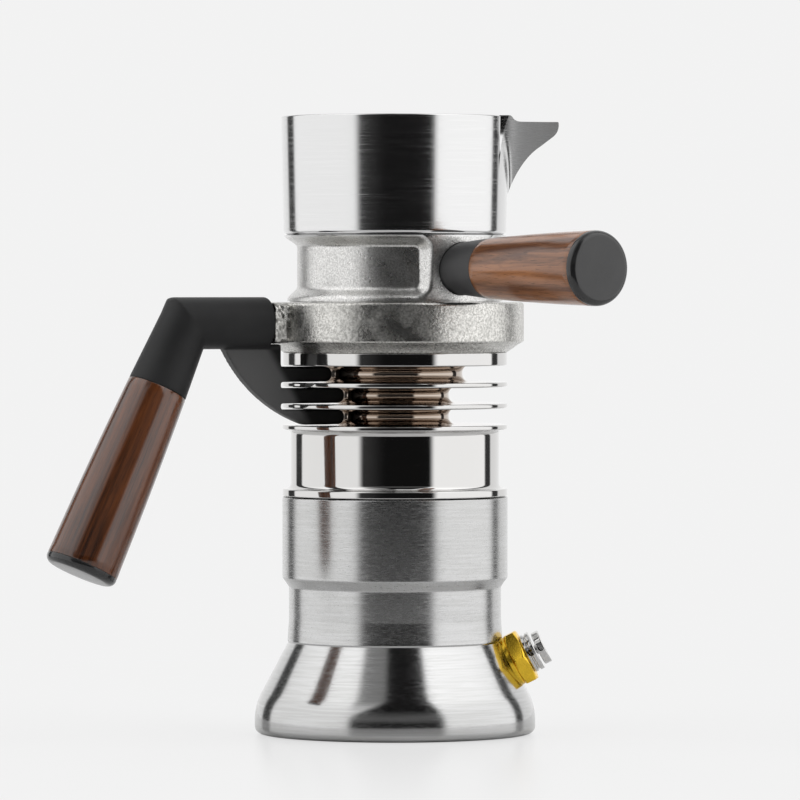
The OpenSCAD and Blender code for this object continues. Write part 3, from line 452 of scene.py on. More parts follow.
boilerSteel = brushedSteel("boilerSteel", 0.53, 0.25, 0.05, 0.1, 0.16)
mirrorSteel = polishedSteel("mirrorSteel", 0.6, 0.045, 1.0)
valveSteel = polishedSteel("valveSteel", 0.66, 0.07, 0.0)
drawnSteel = brushedSteel("drawnSteel", 0.6, 0.3, 0.12, 0.1)
ringCast = castSteel("ringCast")
cupCast = cupSteel("cupCast")
# the last number is the paler tone painted on the web plate as sheen
armCoat = blackMetal("armCoat", 0.021, 0.54, 0.27, 0.12)
capCoat = blackMetal("capCoat", 0.022, 0.14, 0.6)
ferruleCoat = blackMetal("ferruleCoat", 0.045, 0.5, 0.5)
gripWalnut = walnut("gripWalnut", tone(0.4, 0.165, 0.066), tone(0.12, 0.042, 0.016), 0.0, 0.75)
elbowWalnut = walnut("elbowWalnut", tone(0.17, 0.05, 0.013), tone(0.034, 0.0095, 0.0025), 120.0, 0.85)
goldBrass = machined("goldBrass", tone(1.0, 0.65, 0.055), 0.26)
paleSilicone = softRubber("paleSilicone", tone(0.72, 0.7, 0.64))
print("finishes made")


# boiler

boiler = {"footR": 47.5, "footEdge": 2.5, "bandH": 4.0, "curveR": 22.0, "flare": (36.4, 31.4),
          "waist": (35.9, 38.8), "chamferZ": 49.6, "collar": (38.1, 52.8), "mouthZ": 80.0, "tilt": 26.5566,
          "wall": 5.0, "waterR": 31.0, "ledgeZ": 59.9, "rootR": 35.0}


def makeBoiler():
    b = boiler
    tilt = b["tilt"]
    at = (b["footR"] - b["curveR"], b["bandH"])
    foot = arcPoints((b["footR"] - b["footEdge"], b["footEdge"]), b["footEdge"], -90, 0, 8)
    curve = arcPoints(at, b["curveR"], 0, tilt, 14)
    inner = arcPoints(at, b["curveR"] - b["wall"], tilt, 0, 12)
    innerTop = inner[0][1] + (inner[0][0] - b["waterR"]) / math.tan(math.radians(tilt))
    upper = rounded([(b["flare"][0] - 3, b["flare"][1] - 6, 0), (b["flare"][0], b["flare"][1], 0.7),
                     (b["waist"][0], b["waist"][1], 0), (b["waist"][0], b["chamferZ"], 0.8),
                     (b["collar"][0], b["collar"][1], 0.7), (b["collar"][0], b["mouthZ"], 0.35),
                     (b["rootR"], b["mouthZ"], 0.35), (b["rootR"], b["ledgeZ"], 0),
                     (b["waterR"], b["ledgeZ"], 0.3), (b["waterR"], innerTop, 0)], closed=False)
    low = [(0, 0)] + foot + curve[1:]
    start = next(i for i, p in enumerate(upper) if p[1] > b["flare"][1] - 1.2 and p[0] > b["rootR"])
    slope = [(curve[-1][0] + (upper[start][0] - curve[-1][0]) * k / 6,
              curve[-1][1] + (upper[start][1] - curve[-1][1]) * k / 6) for k in range(1, 6)]
    outline = low + slope + upper[start:] + inner + [(0, b["bandH"])]
    vessel = lathe("boilerVessel", outline, turns(192))
    settle(vessel, "boiler", boilerSteel, "brushed_steel", "boiler_vessel")


makeBoiler()
print("boiler made")


# relief valve on the flare

valve = {"turn": -4.0, "at": (39.9007, 24.4), "tilt": 26.5566, "sunk": 0.9, "washerR": 8.6, "washerT": 1.7,
         "shankR": 5.0, "shankTop": 8.5, "hexAf": 17.6, "hexH": 4.6, "capR": 6.8, "capS": 6.5, "capH": 3.4,
         "capFloor": 1.4, "capHole": (1.2, 1.8), "headR": 5.8, "headS": 10.5, "headH": 2.6,
         "headHole": 1.05, "holes": (2.2, 9.0), "inner": -5.6, "bore": 2.0, "seat": -3.18, "chamberR": 4.0,
         "stemR": 1.4, "poppetT": 1.6, "play": 0.05, "ease": 0.4, "spring": (3.25, -1.18, 8.1),
         "wireR": 0.35, "keep": 0.835}


def valvePlace():
    v = valve
    return Matrix.Rotation(math.radians(v["turn"]), 4, "Z") @ \
        Matrix.Translation((v["at"][0] * mm, 0, v["at"][1] * mm)) @ \
        Matrix.Rotation(math.radians(90 - v["tilt"]), 4, "Y") @ Matrix.Translation((0, 0, -v["sunk"] * mm))


def hexShape(acrossFlats, low, high):
    # the nut's flats with a turned chamfer at both ends
    def shape(r, z, a):
        if r > acrossFlats * 0.45:
            flat = acrossFlats / 2 / math.cos(((a + math.pi / 6) % (math.pi / 3)) - math.pi / 6)
            edge = acrossFlats / 2 * 0.985
            r = min(flat, edge + min(z - low, high - z) * 1.9)
        return (r * math.cos(a), r * math.sin(a), z)
    return shape


def crossDrill(piece, radius, s):
    # three blind holes, one of them towards the front
    for turn in (0, 120, 240):
        place = valvePlace() @ Matrix.Translation((0, 0, s * mm)) @ \
            Matrix.Rotation(math.radians(turn), 4, "Z") @ Matrix.Rotation(math.pi / 2, 4, "X")
        combine(piece, lathe("drill", rod(radius, *valve["holes"]), turns(20), place=place))


def makeValve():
    v = valve
    place = valvePlace()
    shank, chamber, stemR = v["shankR"], v["chamberR"], v["stemR"]
    washer = lathe("reliefWasher", washerOutline(shank + v["play"], v["washerR"], 0, v["washerT"], 0.3),
                   turns(72), place=place)
    settle(washer, "boiler", goldBrass, "brass", "relief_washer")

    low, high = v["washerT"], v["washerT"] + v["hexH"]
    levels = [low + d for d in (0.0, 0.12, 0.25, 0.4, 0.6, 0.85, 1.2)]
    flats = [(v["hexAf"] / 2, z) for z in levels + [low + high - z for z in reversed(levels)]]
    seat = v["seat"] - 0.02
    shankTop = v["shankTop"]
    outline = [(v["bore"], v["inner"]), (shank, v["inner"]), (shank, low)] + flats + \
        [(shank, high), (shank, shankTop), (chamber, shankTop), (chamber, seat), (v["bore"], seat)]
    body = lathe("reliefBody", outline, turns(96), hexShape(v["hexAf"], low, high), 25, place)
    capR, capS = v["capR"], v["capS"]
    holeR, holeUp = v["capHole"]
    crossDrill(body, holeR, capS + holeUp)
    settle(body, "boiler", goldBrass, "brass", "relief_body")

    top = capS + v["capH"]
    under = top - v["capFloor"]
    grooveR = capR - 0.5
    outline = [(shank + v["play"], capS, 0.1), (capR, capS, 0.35), (capR, capS + 1.1, 0.15),
               (grooveR, capS + 1.35, 0.1), (grooveR, capS + 1.75, 0.1), (capR, capS + 2.0, 0.15),
               (capR, top, 0.45), (stemR + v["ease"], top, 0.2), (stemR + v["ease"], under, 0.1),
               (shank + v["play"], under, 0.1)]
    cap = lathe("reliefCap", rounded(outline, 4, 0.2), turns(96), place=place)
    crossDrill(cap, holeR, capS + holeUp)
    settle(cap, "boiler", valveSteel, "polished_steel", "relief_cap")

    headTop = v["headS"] + v["headH"]
    poppetR, poppetTop = chamber - v["ease"], v["seat"] + v["poppetT"]
    outline = [(0, v["seat"], 0), (poppetR, v["seat"], 0.15), (poppetR, poppetTop, 0.15),
               (stemR, poppetTop, 0), (stemR, v["headS"], 0), (v["headR"], v["headS"], 0.3),
               (v["headR"], headTop, 0.45), (0, headTop, 0)]
    stem = lathe("reliefStem", rounded(outline, 4, 0.2), turns(96), place=place)
    crossDrill(stem, v["headHole"], v["headS"] + v["headH"] / 2)
    settle(stem, "relief_plunger", valveSteel, "polished_steel", "relief_stem")

    coilR, springLow, springTop = v["spring"]
    spring = wound("reliefSpring", circle(v["wireR"], 10), coilR, springLow, springTop, 4, 40, place=place)
    settle(spring, "boiler", drawnSteel, "plain_steel", "relief_spring")
    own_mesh(spring)


makeValve()
print("relief valve made")


# finned body with its barrel, fins and basket recess

fins = {"seamZ": 80.4, "flange": (38.1, 82.9), "barrelR": 35.3, "finZ": 102.9, "finR": 38.1, "finT": 1.6,
        "gap": 5.6, "grooves": (18.2, 18.2, 22.8), "bandR": 38.0, "bandZ": 124.5, "topZ": 129.0,
        "edge": 0.5, "spigot": (33.6, 62.4), "upstand": (32.5, 141.0), "recess": (29.6, 126.5),
        "lidSeat": (17.45, 120.3), "chamber": (14.0, 102.9), "regulatorR": 7.05, "water": (29.4, 97.4)}


def makeFins():
    f = fins
    e, half = f["edge"], f["gap"] / 2
    finR, barrelR, bandR, topZ = f["finR"], f["barrelR"], f["bandR"], f["topZ"]
    flangeR, flangeZ = f["flange"]
    spigotR, spigotZ = f["spigot"]
    corners = [(spigotR, f["seamZ"], 0.3), (flangeR, f["seamZ"], 0.35), (flangeR, flangeZ, 0.5),
               (barrelR, flangeZ, 1.8), (barrelR, f["finZ"], 1.8), (finR, f["finZ"], 0.4)]
    z = f["finZ"] + f["finT"]
    for bottom in f["grooves"]:
        top = z + f["gap"]
        corners += [(finR, z, e), (bottom, z, half * 0.98), (bottom, top, half * 0.98), (finR, top, e)]
        z = top + f["finT"]
    corners[-1] = (bandR, f["bandZ"], 0.4)
    upstandR, upstandZ = f["upstand"]
    recessR, recessZ = f["recess"]
    seatR, seatZ = f["lidSeat"]
    chamberR, chamberZ = f["chamber"]
    waterR, waterZ = f["water"]
    corners += [(bandR, topZ, 0.5), (upstandR, topZ, 0.2), (upstandR, upstandZ, 0.4),
                (recessR, upstandZ, 0.4), (recessR, recessZ, 0.4), (seatR, recessZ, 0.3),
                (seatR, seatZ, 0.1), (chamberR, seatZ, 0.2), (chamberR, chamberZ, 0.4),
                (f["regulatorR"], chamberZ, 0.2), (f["regulatorR"], waterZ, 0.2), (waterR, waterZ, 1.0),
                (waterR, spigotZ, 0.4), (spigotR, spigotZ, 0.6)]
    piece = lathe("finnedBody", rounded(corners, 7), turns(176))
    settle(piece, "heat_unit", mirrorSteel, "polished_steel", "finned_body")


makeFins()
print("finned body made")


# brew ring with the rough square pad that the arm meets

ring = {"r": 43.6, "z": 132.0, "top": 145.8, "coneR": 42.4, "baseZ": 129.0, "bore": 37.0, "floor": 132.6,
        "inner": 32.55, "baseR": 38.0, "pad": (40.0, 47.95), "padHalf": (7.8, 6.85), "turn": 206.0,
        "lumps": 0.45, "lumpSize": 0.62, "stud": (4.05, 38.0, 50.0)}


def makePad(place):
    # lumpy sides, as left by the mould
    g = ring
    sides, rows = 88, 18
    verts = []
    for i in range(rows + 1):
        s = g["pad"][0] + (g["pad"][1] - g["pad"][0]) * i / rows
        for j in range(sides):
            a = 2 * math.pi * j / sides
            square = (math.cos(a) ** 8 + math.sin(a) ** 8) ** -0.125
            y, z = square * math.cos(a) * g["padHalf"][0], square * math.sin(a) * g["padHalf"][1]
            lump = noise.noise(Vector((s, y, z)) * g["lumpSize"]) * g["lumps"] - g["lumps"] * 0.35
            verts.append((s, y * (1 + lump / 8), z * (1 + lump / 12)))
    return storeMesh("pad", verts, tubeFaces(rows, sides), 60, place)


def makeRing():
    g = ring
    corners = [(g["inner"], g["baseZ"], 0.1), (g["baseR"], g["baseZ"], 0.6), (g["coneR"], g["z"], 0.8),
               (g["r"], g["z"] + 0.6, 0.6), (g["r"], g["top"], 1.0), (g["bore"], g["top"], 0.6),
               (g["bore"], g["floor"], 0.3), (g["inner"], g["floor"], 0.1)]
    piece = lathe("brewRing", rounded(corners, 5), turns(192), sharp=24)
    level = (g["z"] + g["top"]) / 2
    outward = Matrix.Rotation(math.radians(g["turn"]), 4, "Z") @ Matrix.Translation((0, 0, level * mm))
    combine(piece, makePad(outward), "UNION")
    combine(piece, lathe("drill", rod(*g["stud"]), turns(32), place=alongRadius(g["turn"], level)))
    settle(piece, "heat_unit", ringCast, "cast_steel", "brew_ring")


makeRing()
print("brew ring made")


# cup, neck, handle boss and spout in one casting

cup = {"spigotR": 35.6, "spigotZ": 133.4, "spigotBoreR": 32.9, "jointZ": 146.2, "footR": 36.4,
       "neckR": 33.1, "lowR": 37.7, "cupZ": 168.0, "lowEdge": 1.4, "rimR": 38.5, "rimZ": 208.6,
       "rimEdge": 0.5, "wall": 2.0, "floorZ": 154.4, "boreR": 28.8, "outletR": 4.05, "collectorR": 27.6,
       "collectorZ": 150.4, "screenR": 30.25, "ceilZ": 144.6, "bossTurn": -52.5, "bossHalf": 10.4,
       "bossArcR": 35.0, "corner": 6.0, "fall": 4.4, "seat": (9.0, 31.0, 60.0), "axisZ": 157.1,
       "keelHalf": 13.5, "blend": 1.2}
spout = {"reach": 55.3, "h": 25.0, "drop": 2.0, "nose": 4.7, "noseDrop": 1.2, "noseRun": 8.3, "flank": 60.0,
         "underR": 22.3, "run": 17.5, "wall": 1.6}


def ease(t):
    t = min(1.0, max(0.0, t))
    return t * t * (3 - 2 * t)


def spoutLimit(z):
    # side outline of the tip: a straight run off the keel, then a round nose
    s = spout
    root = cup["rimZ"] - s["h"]
    slope = math.cos(math.radians(s["flank"]))
    bendX = s["reach"] - s["noseRun"]
    hollow = math.sqrt(s["underR"] ** 2 - (bendX - cup["rimR"] - s["run"]) ** 2)
    bendZ = root + (hollow - math.sqrt(s["underR"] ** 2 - s["run"] ** 2)) / slope
    noseX, noseZ = s["reach"] - s["nose"], cup["rimZ"] - s["drop"] - s["noseDrop"]
    far = math.hypot(noseX - bendX, noseZ - bendZ)
    rise = math.atan2(noseZ - bendZ, noseX - bendX) - math.asin(s["nose"] / far)
    touchZ = bendZ + math.sqrt(far * far - s["nose"] ** 2) * math.sin(rise)
    if z >= touchZ:
        return noseX + math.sqrt(max(0.0, s["nose"] ** 2 - (z - noseZ) ** 2))
    return bendX + (z - bendZ) / math.tan(rise) if z > bendZ else 99.0


def spoutReach(y, z, inset):
    # distance from the axis to the spout's flank at this height and width
    s = spout
    slope = math.radians(s["flank"])
    middleX = cup["rimR"] + s["run"]
    middleZ = cup["rimZ"] - s["h"] - math.sqrt(s["underR"] ** 2 - s["run"] ** 2) / math.cos(slope)
    radius = s["underR"] + inset
    up = (z - abs(y) * math.tan(slope) - middleZ) * math.cos(slope)
    if up <= 0:
        return 0.0
    hollow = middleX - math.sqrt(radius * radius - up * up) if up < radius else 99.0
    return min(spoutLimit(z) - inset, hollow)


def softMax(a, b, k):
    h = max(k - abs(a - b), 0.0) / k
    return max(a, b) + h * h * k * 0.25


def cupShape(r, z, a):
    c = cup
    boss = math.radians(c["bossTurn"])
    off = (a - boss + math.pi) % (2 * math.pi) - math.pi
    if c["jointZ"] < z < c["cupZ"] + 3 and r > 36:   # groove of the neck, which ends at the boss
        low, high = c["jointZ"] + 0.5, c["cupZ"] + 0.7
        edge = c["footR"] + (c["lowR"] - c["footR"]) * ease((z - low) / (high - low))
        if z < high:
            along, across = abs(off) * c["bossArcR"] - c["bossHalf"], min(z - low, high - z)
            inside = min(along, across)
            if along < c["corner"] and across < c["corner"]:
                inside = c["corner"] - math.hypot(c["corner"] - along, c["corner"] - across)
            r = edge - (edge - c["neckR"]) * ease(inside / c["fall"])
    x, y = r * math.cos(a), r * math.sin(a)
    if x > 20 and abs(y) < 15 and z > c["rimZ"] - spout["h"] - 1 and r > 34:
        taper = (c["rimR"] - c["lowR"]) * (c["rimZ"] - z) / (c["rimZ"] - c["cupZ"])
        outer = r > c["rimR"] - c["wall"] * 0.5 - taper
        inset = 0.0 if outer else spout["wall"]
        grown = softMax(x, spoutReach(y, z, inset), c["blend"])
        lower = spout["drop"] * ease((grown - c["rimR"]) / 3.6) * ease((z - c["rimZ"] + 5) / 5)
        z -= lower
        x = softMax(x, spoutReach(y, z, inset), c["blend"])
    return (x, y, z)


def makeCup():
    c = cup
    wall, edge, rimEdge = c["wall"], c["lowEdge"], c["rimEdge"]
    lowR, rimR, rimZ, cupZ = c["lowR"], c["rimR"], c["rimZ"], c["cupZ"]
    neckRows, sideRows, insideRows, keelRows = 58, 74, 59, 59
    rows = []
    for i in range(neckRows + 1):   # neck and the cup's lower edge
        rows.append((c["footR"] + 0.05, c["jointZ"] + (cupZ + 0.7 - c["jointZ"]) * i / neckRows))
    first = cupZ + edge + 0.7
    lowArc = arcPoints((lowR - edge, first), edge, -60, 0, 6)
    side = []
    for i in range(1, sideRows + 1):
        z = first + (rimZ - rimEdge - first) * i / sideRows
        side.append((lowR + (rimR - lowR) * (z - cupZ - 2) / (rimZ - cupZ - 2), z))
    rim = arcPoints((rimR - rimEdge, rimZ - rimEdge), rimEdge, 15, 90, 4) + \
        arcPoints((rimR - wall + rimEdge, rimZ - rimEdge), rimEdge, 90, 165, 4)
    inside = []
    for i in range(insideRows + 1):
        z = rimZ - 0.6 - (rimZ - 0.6 - cupZ - 4) * i / insideRows
        inside.append((lowR - wall + (rimR - lowR) * (z - cupZ - 4) / (rimZ - cupZ - 4), z))
    ceiling, step = c["ceilZ"], c["ceilZ"] + 0.8
    rest = [(lowR - wall, cupZ + 3.6, 0), (c["boreR"], cupZ - 2, 2.0), (c["boreR"], c["floorZ"], 1.5),
            (c["outletR"], c["floorZ"], 0.2), (c["outletR"], c["collectorZ"] + 0.2, 0.1),
            (c["collectorR"], step, 0.4), (c["screenR"], step, 0.1), (c["screenR"], ceiling, 0.1),
            (c["spigotBoreR"], ceiling, 0.1), (c["spigotBoreR"], c["spigotZ"], 0.4),
            (c["spigotR"], c["spigotZ"], 0.5), (c["spigotR"], c["jointZ"], 0)]
    outline = rows + lowArc + side + rim + inside + rounded(rest, 5, closed=False)
    boss = math.radians(c["bossTurn"])
    extra = [boss + math.radians(d * 0.7) for d in range(-46, 47)]
    for i in range(1, keelRows + 1):   # columns crowd towards the keel of the spout
        a = math.asin(c["keelHalf"] * (i / keelRows) ** 1.5 / rimR)
        extra += [a, -a]
    piece = lathe("cupCasting", outline, turns(160, extra + [0.0]), cupShape, 40)
    combine(piece, lathe("drill", rod(*c["seat"]), turns(96), place=alongRadius(c["bossTurn"], c["axisZ"])))
    settle(piece, "top_unit", cupCast, "cast_steel", "cup_casting")


makeCup()
print("cup made")


# handles

handle = {"turn": -52.5, "z": 157.1, "ferrule": (31.0, 8.7), "straight": 6.0, "grip": (53.0, 10.1),
          "end": (106.8, 12.3), "cap": 3.0, "capPlug": (6.0, 2.0), "rodR": 3.05, "nutR": 6.05,
          "pocket": 8.0, "swell": 0.12}
elbow = {"turn": 206.0, "at": (77.7, 138.9), "lean": 24.9, "drop": 24.0, "length": 64.2, "r": 8.7,
         "corner": 9.8, "web": 4.4, "webGap": 0.2, "fingerGaps": (1.4, 2.6), "voxel": 0.42, "easing": 7}


def gripOutline(start, length, r0, r1):
    h = handle
    rows, end = 24, start + length
    pocketZ = end - h["pocket"]
    side = []
    for i in range(1, rows):
        t = i / rows
        side.append((r0 + (r1 - r0) * (t + h["swell"] * math.sin(math.pi * t)), start + length * t))
    return [(r0 - 0.12, start), (r0, start + 0.2)] + side + [(r1, end - 0.25), (r1 - 0.15, end)] + \
        [(h["nutR"], end), (h["nutR"], pocketZ), (h["rodR"], pocketZ), (h["rodR"], start)]


def capOutline(start, r, thick):
    # a shallow domed face and a round shoulder, with a fine line where it meets the wood
    plugR, plug = handle["capPlug"]
    low, face = start - plug, start + thick
    return rounded([(0, low, 0), (plugR, low, 0.2), (plugR, start, 0), (r - 0.2, start, 0.05),
                    (r, start + 0.2, 0.1), (r, face - 0.15, 2.4), (r * 0.5, face, 6.0), (0, face, 0)], 8)


def elbowPlace():
    e = elbow
    return Matrix.Rotation(math.radians(e["turn"]), 4, "Z") @ \
        Matrix.Translation((e["at"][0] * mm, 0, e["at"][1] * mm)) @ \
        Matrix.Rotation(math.radians(180 - e["lean"]), 4, "Y")


def makeHandles():
    h = handle
    place = alongRadius(h["turn"], h["z"])
    start, r = h["ferrule"]
    wood, woodR = h["grip"]
    end, endR = h["end"]
    outline = [(h["rodR"], start, 0.1), (r, start, 1.6), (r, start + h["straight"], 0), (woodR, wood, 0.15),
               (h["rodR"], wood, 0.1)]
    ferrule = lathe("handleFerrule", rounded(outline, 7), turns(96), place=place)
    settle(ferrule, "top_unit", ferruleCoat, "black_metal", "handle_ferrule")
    grip = lathe("handleGrip", gripOutline(wood, end - wood, woodR, endR), turns(96), place=place)
    settle(grip, "top_unit", gripWalnut, "walnut", "handle_grip")
    cap = lathe("handleCap", capOutline(end, endR, h["cap"]), turns(96), place=place)
    settle(cap, "top_unit", capCoat, "black_metal", "handle_end_cap")
    down, drop, length = elbowPlace(), elbow["drop"], elbow["length"]
    grip = lathe("elbowGrip", gripOutline(drop, length, woodR, endR), turns(96), place=down)
    settle(grip, "heat_unit", elbowWalnut, "walnut", "elbow_grip")
    cap = lathe("elbowCap", capOutline(drop + length, endR, h["cap"]), turns(96), place=down)
    settle(cap, "heat_unit", capCoat, "black_metal", "elbow_end_cap")


def acrossArm(z, radius):
    # the piece's own Z lies level and square to the arm
    return alongRadius(elbow["turn"], z) @ Matrix.Translation((0, 0, radius * mm)) @ \
        Matrix.Rotation(math.pi / 2, 4, "X")


def makeMitre():
    # arm and leg run past each other to a corner that is a little blunted
    e = elbow
    far, r, long = e["at"][0], e["r"], 2 * e["r"]
    place = alongRadius(e["turn"], e["at"][1])
    corner = lathe("mitre", rod(r, far - long, far + long), turns(96), place=place)
    combine(corner, lathe("tool", rod(r, -long, long), turns(90), place=elbowPlace()), "INTERSECT")
    blunt = lathe("tool", rod(e["corner"], -long, long), turns(80), place=acrossArm(e["at"][1], far))
    combine(corner, blunt, "INTERSECT")
    return corner


def makeFingerTips():
    # the comb's fingers reach down to the grooves' floors
    f, e = fins, elbow
    half, side = f["gap"] / 2, e["web"] / 2
    z = f["finZ"] + f["finT"] + half
    tips = []
    for floorR in f["grooves"]:
        for short in e["fingerGaps"]:
            place = acrossArm(z, floorR + half + short)
            tips.append(lathe("tip", rod(half - e["webGap"], -side, side), turns(48), place=place))
        z += f["finT"] + f["gap"]
    return tips


def makeElbowArm():
    # the solid's own form, with its edges eased as on a moulded and coated casting
    source = frame["nodes"]["elbow_arm"]
    piece = bpy.data.objects.new("elbowArm", source.data.copy())
    bpy.context.scene.collection.objects.link(piece)
    joined = bmesh.new()
    joined.from_mesh(piece.data)
    for extra in [makeMitre()] + makeFingerTips():
        extra.data.transform(extra.matrix_world)
        joined.from_mesh(extra.data)
        bpy.data.objects.remove(extra)
    joined.to_mesh(piece.data)
    joined.free()
    remesh = piece.modifiers.new("skin", "REMESH")
    remesh.mode, remesh.voxel_size = "VOXEL", elbow["voxel"] * mm
    smooth = piece.modifiers.new("ease", "SMOOTH")
    smooth.factor, smooth.iterations = 0.5, elbow["easing"]
    keepResult(piece)
    settle(piece, "heat_unit", armCoat, "black_metal", "elbow_arm")


makeHandles()
makeElbowArm()
print("handles made")


# seals, springs, coil and screw threads

threads = {"lead": 12.0, "starts": 4, "depth": 1.0}
# each screw: foot radius, 1 for outside or -1 for inside, lower end, upper end, and turn in pitches
boilerScrew = (35.0, -1, 63.4, 79.0, 0)
spigotScrew = (33.6, 1, 63.4, 78.4, 0.5)
ringScrew = (37.0, -1, 133.9, 145.3, 0)
cupScrew = (35.6, 1, 133.9, 144.8, 0.5)


def makeThread(name, screw, body, finish, slotName, node):
    footR, outward, z0, z1, phase = screw
    pitch = threads["lead"] / threads["starts"]
    foot, tip = pitch / 4, pitch / 9
    depth = threads["depth"] * outward
    upper = [(depth, tip * 0.7), (depth * 0.86, tip * 1.12), (0.02 * outward, foot)]
    section = [(p, -q) for p, q in reversed(upper)] + upper
    turnCount = (z1 - z0 - 2 * foot) / threads["lead"]
    parts = []
    for k in range(threads["starts"]):
        first = -2 * math.pi * (k + phase + (foot - z0 % pitch) / pitch) / threads["starts"]
        called = "part" if parts else name
        parts.append(wound(called, section, footR, z0 + foot, z1 - foot, turnCount, 96, first))
    whole = bmesh.new()
    for p in parts:
        whole.from_mesh(p.data)
    whole.to_mesh(parts[0].data)
    whole.free()
    for p in parts[1:]:
        bpy.data.objects.remove(p)
    parts[0].data.set_sharp_from_angle(angle=math.radians(30))
    settle(parts[0], body, finish, slotName, node)


# each seal: inner radius, outer radius, lower face, thickness and edge
boilerSeal = (29.4, 33.6, 59.9, 2.5, 0.5)
brewSeal = (28.4, 32.5, 142.0, 2.6, 0.5)
chamberSeal = (14.05, 17.2, 120.3, 1.2, 0.3)
coilPipe = {"r": 1.6, "coilR": 12.0, "z0": 104.9, "z1": 118.3, "turns": 3}
regulatorWire = {"r": 0.4, "coilR": 3.4, "z0": 96.8, "z1": 103.95, "turns": 3, "keep": 0.79}


def makeInnerPieces():
    makeThread("boilerThread", boilerScrew, "boiler", boilerSteel, "brushed_steel", "boiler_thread")
    makeThread("spigotThread", spigotScrew, "heat_unit", mirrorSteel, "polished_steel", "spigot_thread")
    makeThread("ringThread", ringScrew, "heat_unit", ringCast, "cast_steel", "ring_thread")
    makeThread("cupThread", cupScrew, "top_unit", cupCast, "cast_steel", "cup_thread")
    seal = lathe("boilerSeal", washerOutline(*boilerSeal), turns(128))
    settle(seal, "lower_seal", paleSilicone, "silicone", "boiler_seal")
    seal = lathe("brewSeal", washerOutline(*brewSeal), turns(128))
    settle(seal, "upper_seal", paleSilicone, "silicone", "brew_seal")
    seal = lathe("chamberSeal", washerOutline(*chamberSeal), turns(96))
    settle(seal, "heat_unit", paleSilicone, "silicone", "chamber_seal")
    c = coilPipe
    coil = wound("exchangerCoil", circle(c["r"], 16), c["coilR"], c["z0"], c["z1"], c["turns"], 72)
    settle(coil, "heat_unit", drawnSteel, "plain_steel", "exchanger_coil")
    w = regulatorWire
    spring = wound("regulatorSpring", circle(w["r"], 10), w["coilR"], w["z0"], w["z1"], w["turns"], 40)
    settle(spring, "heat_unit", drawnSteel, "plain_steel", "regulator_spring")
    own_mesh(spring)


makeInnerPieces()
print("inner pieces made")


# the other solids keep their shape and take a finish

plainFinish = {"polished_steel": valveSteel, "plain_steel": drawnSteel, "brass": goldBrass,
               "black_metal": armCoat, "cast_steel": ringCast, "brushed_steel": boilerSteel,
               "walnut": gripWalnut, "silicone": paleSilicone}
for part in frame["record"]["subparts"]:
    node = frame["nodes"][part["node"]]
    if not node.hide_render:
        node.data.materials.clear()
        node.data.materials.append(plainFinish[part["material_slot"]])
print("finishes given to the remaining solids")


# studio: a pale floor, and a sky with the two soft boxes that the steel mirrors

studio = {"box": 1.2, "boxHigh": 1.55, "right": 0.12, "dark": 0.008, "dim": 0.035, "mid": 0.13,
          "backdrop": 1.0, "seen": 0.89, "floor": 0.86, "floorMirrored": 0.75, "front": 40.0,
          "frontHigh": 23.0, "lean": (1.5, 11.5), "haze": 0.3, "top": 0.4, "gap": 0.05, "reach": 0.48,
          "sunk": 0.0002, "pale": (0.72, 1.0)}
# where the sky's parts begin and end, in degrees: aside is 0 towards the front, rise is 0 at the horizon
edges = {"high": (14.0, 52.0), "hazeLeft": (-46.0, -36.0), "hazeRight": (-2.0, 6.0), "front": (-4.0, 4.0),
         "frontTop": (60.0, 76.0), "leftGap": (-143.0, -139.0, -127.0, -123.0),
         "rightGap": (116.0, 120.0, 129.0, 133.0), "gapTop": (58.0, 70.0), "behind": (128.0, 133.0),
         "right": (-10.0, 10.0), "top": (58.0, 82.0), "dim": (-36.0, -8.0), "mid": (6.0, 16.0, 18.0, 32.0)}


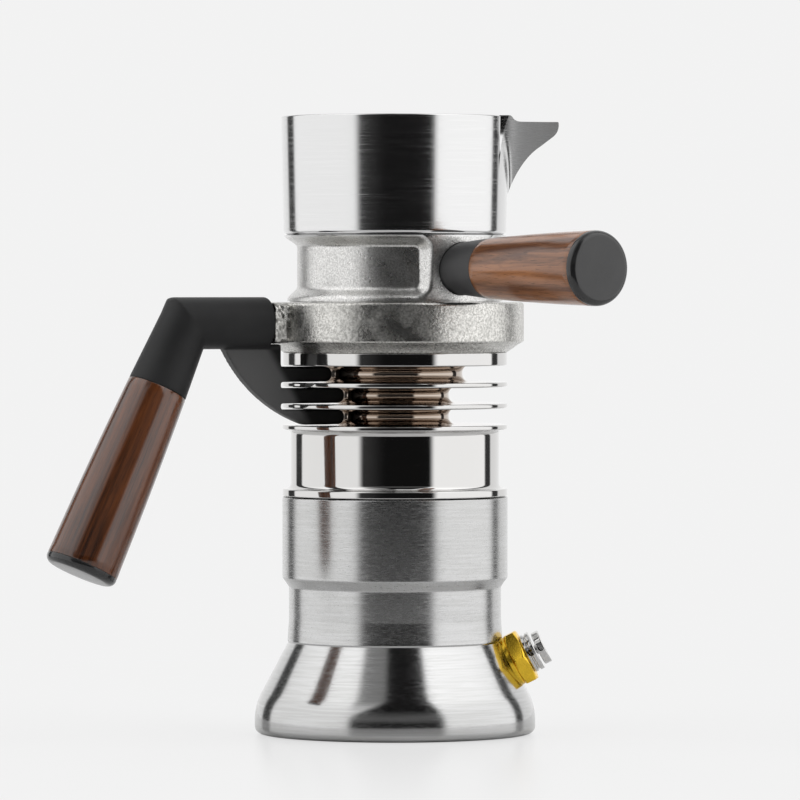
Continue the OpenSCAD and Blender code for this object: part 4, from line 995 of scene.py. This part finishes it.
def makeSky():
    s, e = studio, edges
    world = bpy.data.worlds.new("studioSky")
    bpy.context.scene.world = world
    f = Finish("studioSky", world)
    back = next(n for n in f.tree.nodes if n.type == "BACKGROUND")
    x, y, z = f.axes(f.add("ShaderNodeTexCoord", {}, {}, 0))
    aside = f.add("ShaderNodeMath", {"operation": "ARCTAN2"}, {0: x, 1: 0 - y}) * (180 / math.pi)
    rise = f.add("ShaderNodeMath", {"operation": "ARCSINE"}, {0: z}) * (180 / math.pi)
    high = f.between(rise, *e["high"])
    side = f.add("ShaderNodeMath", {"operation": "ABSOLUTE"}, {0: aside})
    leaning = s["lean"][0] + high * s["lean"][1]
    middle = f.add("ShaderNodeMath", {"operation": "ABSOLUTE"}, {0: aside - leaning})
    haze = high * f.between(aside, *e["hazeLeft"]) * f.fade(aside, *e["hazeRight"])
    opening = s["front"] - high * (s["front"] - s["frontHigh"])
    dark = f.fade(middle - opening, *e["front"]) * f.fade(rise, *e["frontTop"])
    gaps = (f.band(aside, *e["leftGap"]) + f.band(aside, *e["rightGap"])) * f.fade(rise, *e["gapTop"])
    behind = f.between(side, *e["behind"])
    light = (s["box"] + high * (s["boxHigh"] - s["box"])) * (1 + f.between(aside, *e["right"]) * s["right"])
    light = light * (1 - behind) + s["backdrop"] * behind
    light = light * (1 - gaps) + s["gap"] * gaps
    light = light * (1 - haze) + s["haze"] * haze
    light = light * f.between(rise, *e["top"], 1.0, s["top"])
    unlit = s["dark"] + f.fade(aside, *e["dim"]) * s["dim"] + f.band(rise, *e["mid"]) * s["mid"]
    light = light * (1 - dark) + unlit * dark
    seen = f.add("ShaderNodeLightPath", {}, {}, 0)
    level = light * (1 - seen) + s["seen"] * seen
    f.feed(back, {"Color": tone(1.0, 1.0, 1.0), "Strength": level})


def makeFloor():
    s = studio
    rows = [0.0, 0.08, 0.2, s["reach"]]
    floor = lathe("floor", [(r / mm, 0) for r in rows] + [(rows[-1] / mm, -1), (0, -1)], turns(96))
    floor.location.z = -s["sunk"]
    f = Finish("paleFloor")
    far = f.add("ShaderNodeVectorMath", {"operation": "LENGTH"}, {0: f.place()}, 1)
    seen = f.add("ShaderNodeLightPath", {}, {}, 0)
    f.shade(colour=f.blendOf(seen, tone(s["floorMirrored"]), tone(s["floor"])), rough=0.22, spec=0.35)
    glow = f.add("ShaderNodeEmission", {}, {"Color": tone(s["seen"]), "Strength": 1.0})
    plain = f.between(far, 0.04, 0.4, *s["pale"])
    skin = Wire(f, f.skin.outputs[0])
    mixed = f.add("ShaderNodeMixShader", {}, {0: seen * plain, 1: skin, 2: glow})
    sheet = next(n for n in f.tree.nodes if n.type == "OUTPUT_MATERIAL")
    f.feed(sheet, {"Surface": mixed})
    floor.data.materials.append(f.holder)


makeSky()
makeFloor()
print("studio made")


# camera at the photograph's viewing angle

camera = {"lens": 270.0, "at": (1.7, -2030.0, 153.0), "aim": (1.7, 0.0, 112.7)}


def makeCamera():
    data = bpy.data.cameras.new("camera")
    data.lens, data.sensor_width = camera["lens"], 36.0
    data.clip_start, data.clip_end = 0.05, 50
    obj = bpy.data.objects.new("camera", data)
    bpy.context.scene.collection.objects.link(obj)
    obj.location = Vector(camera["at"]) * mm
    obj.rotation_euler = (Vector(camera["aim"]) - Vector(camera["at"])).to_track_quat("-Z", "Y").to_euler()
    bpy.context.scene.camera = obj


makeCamera()
bpy.context.scene.view_settings.view_transform = "Standard"
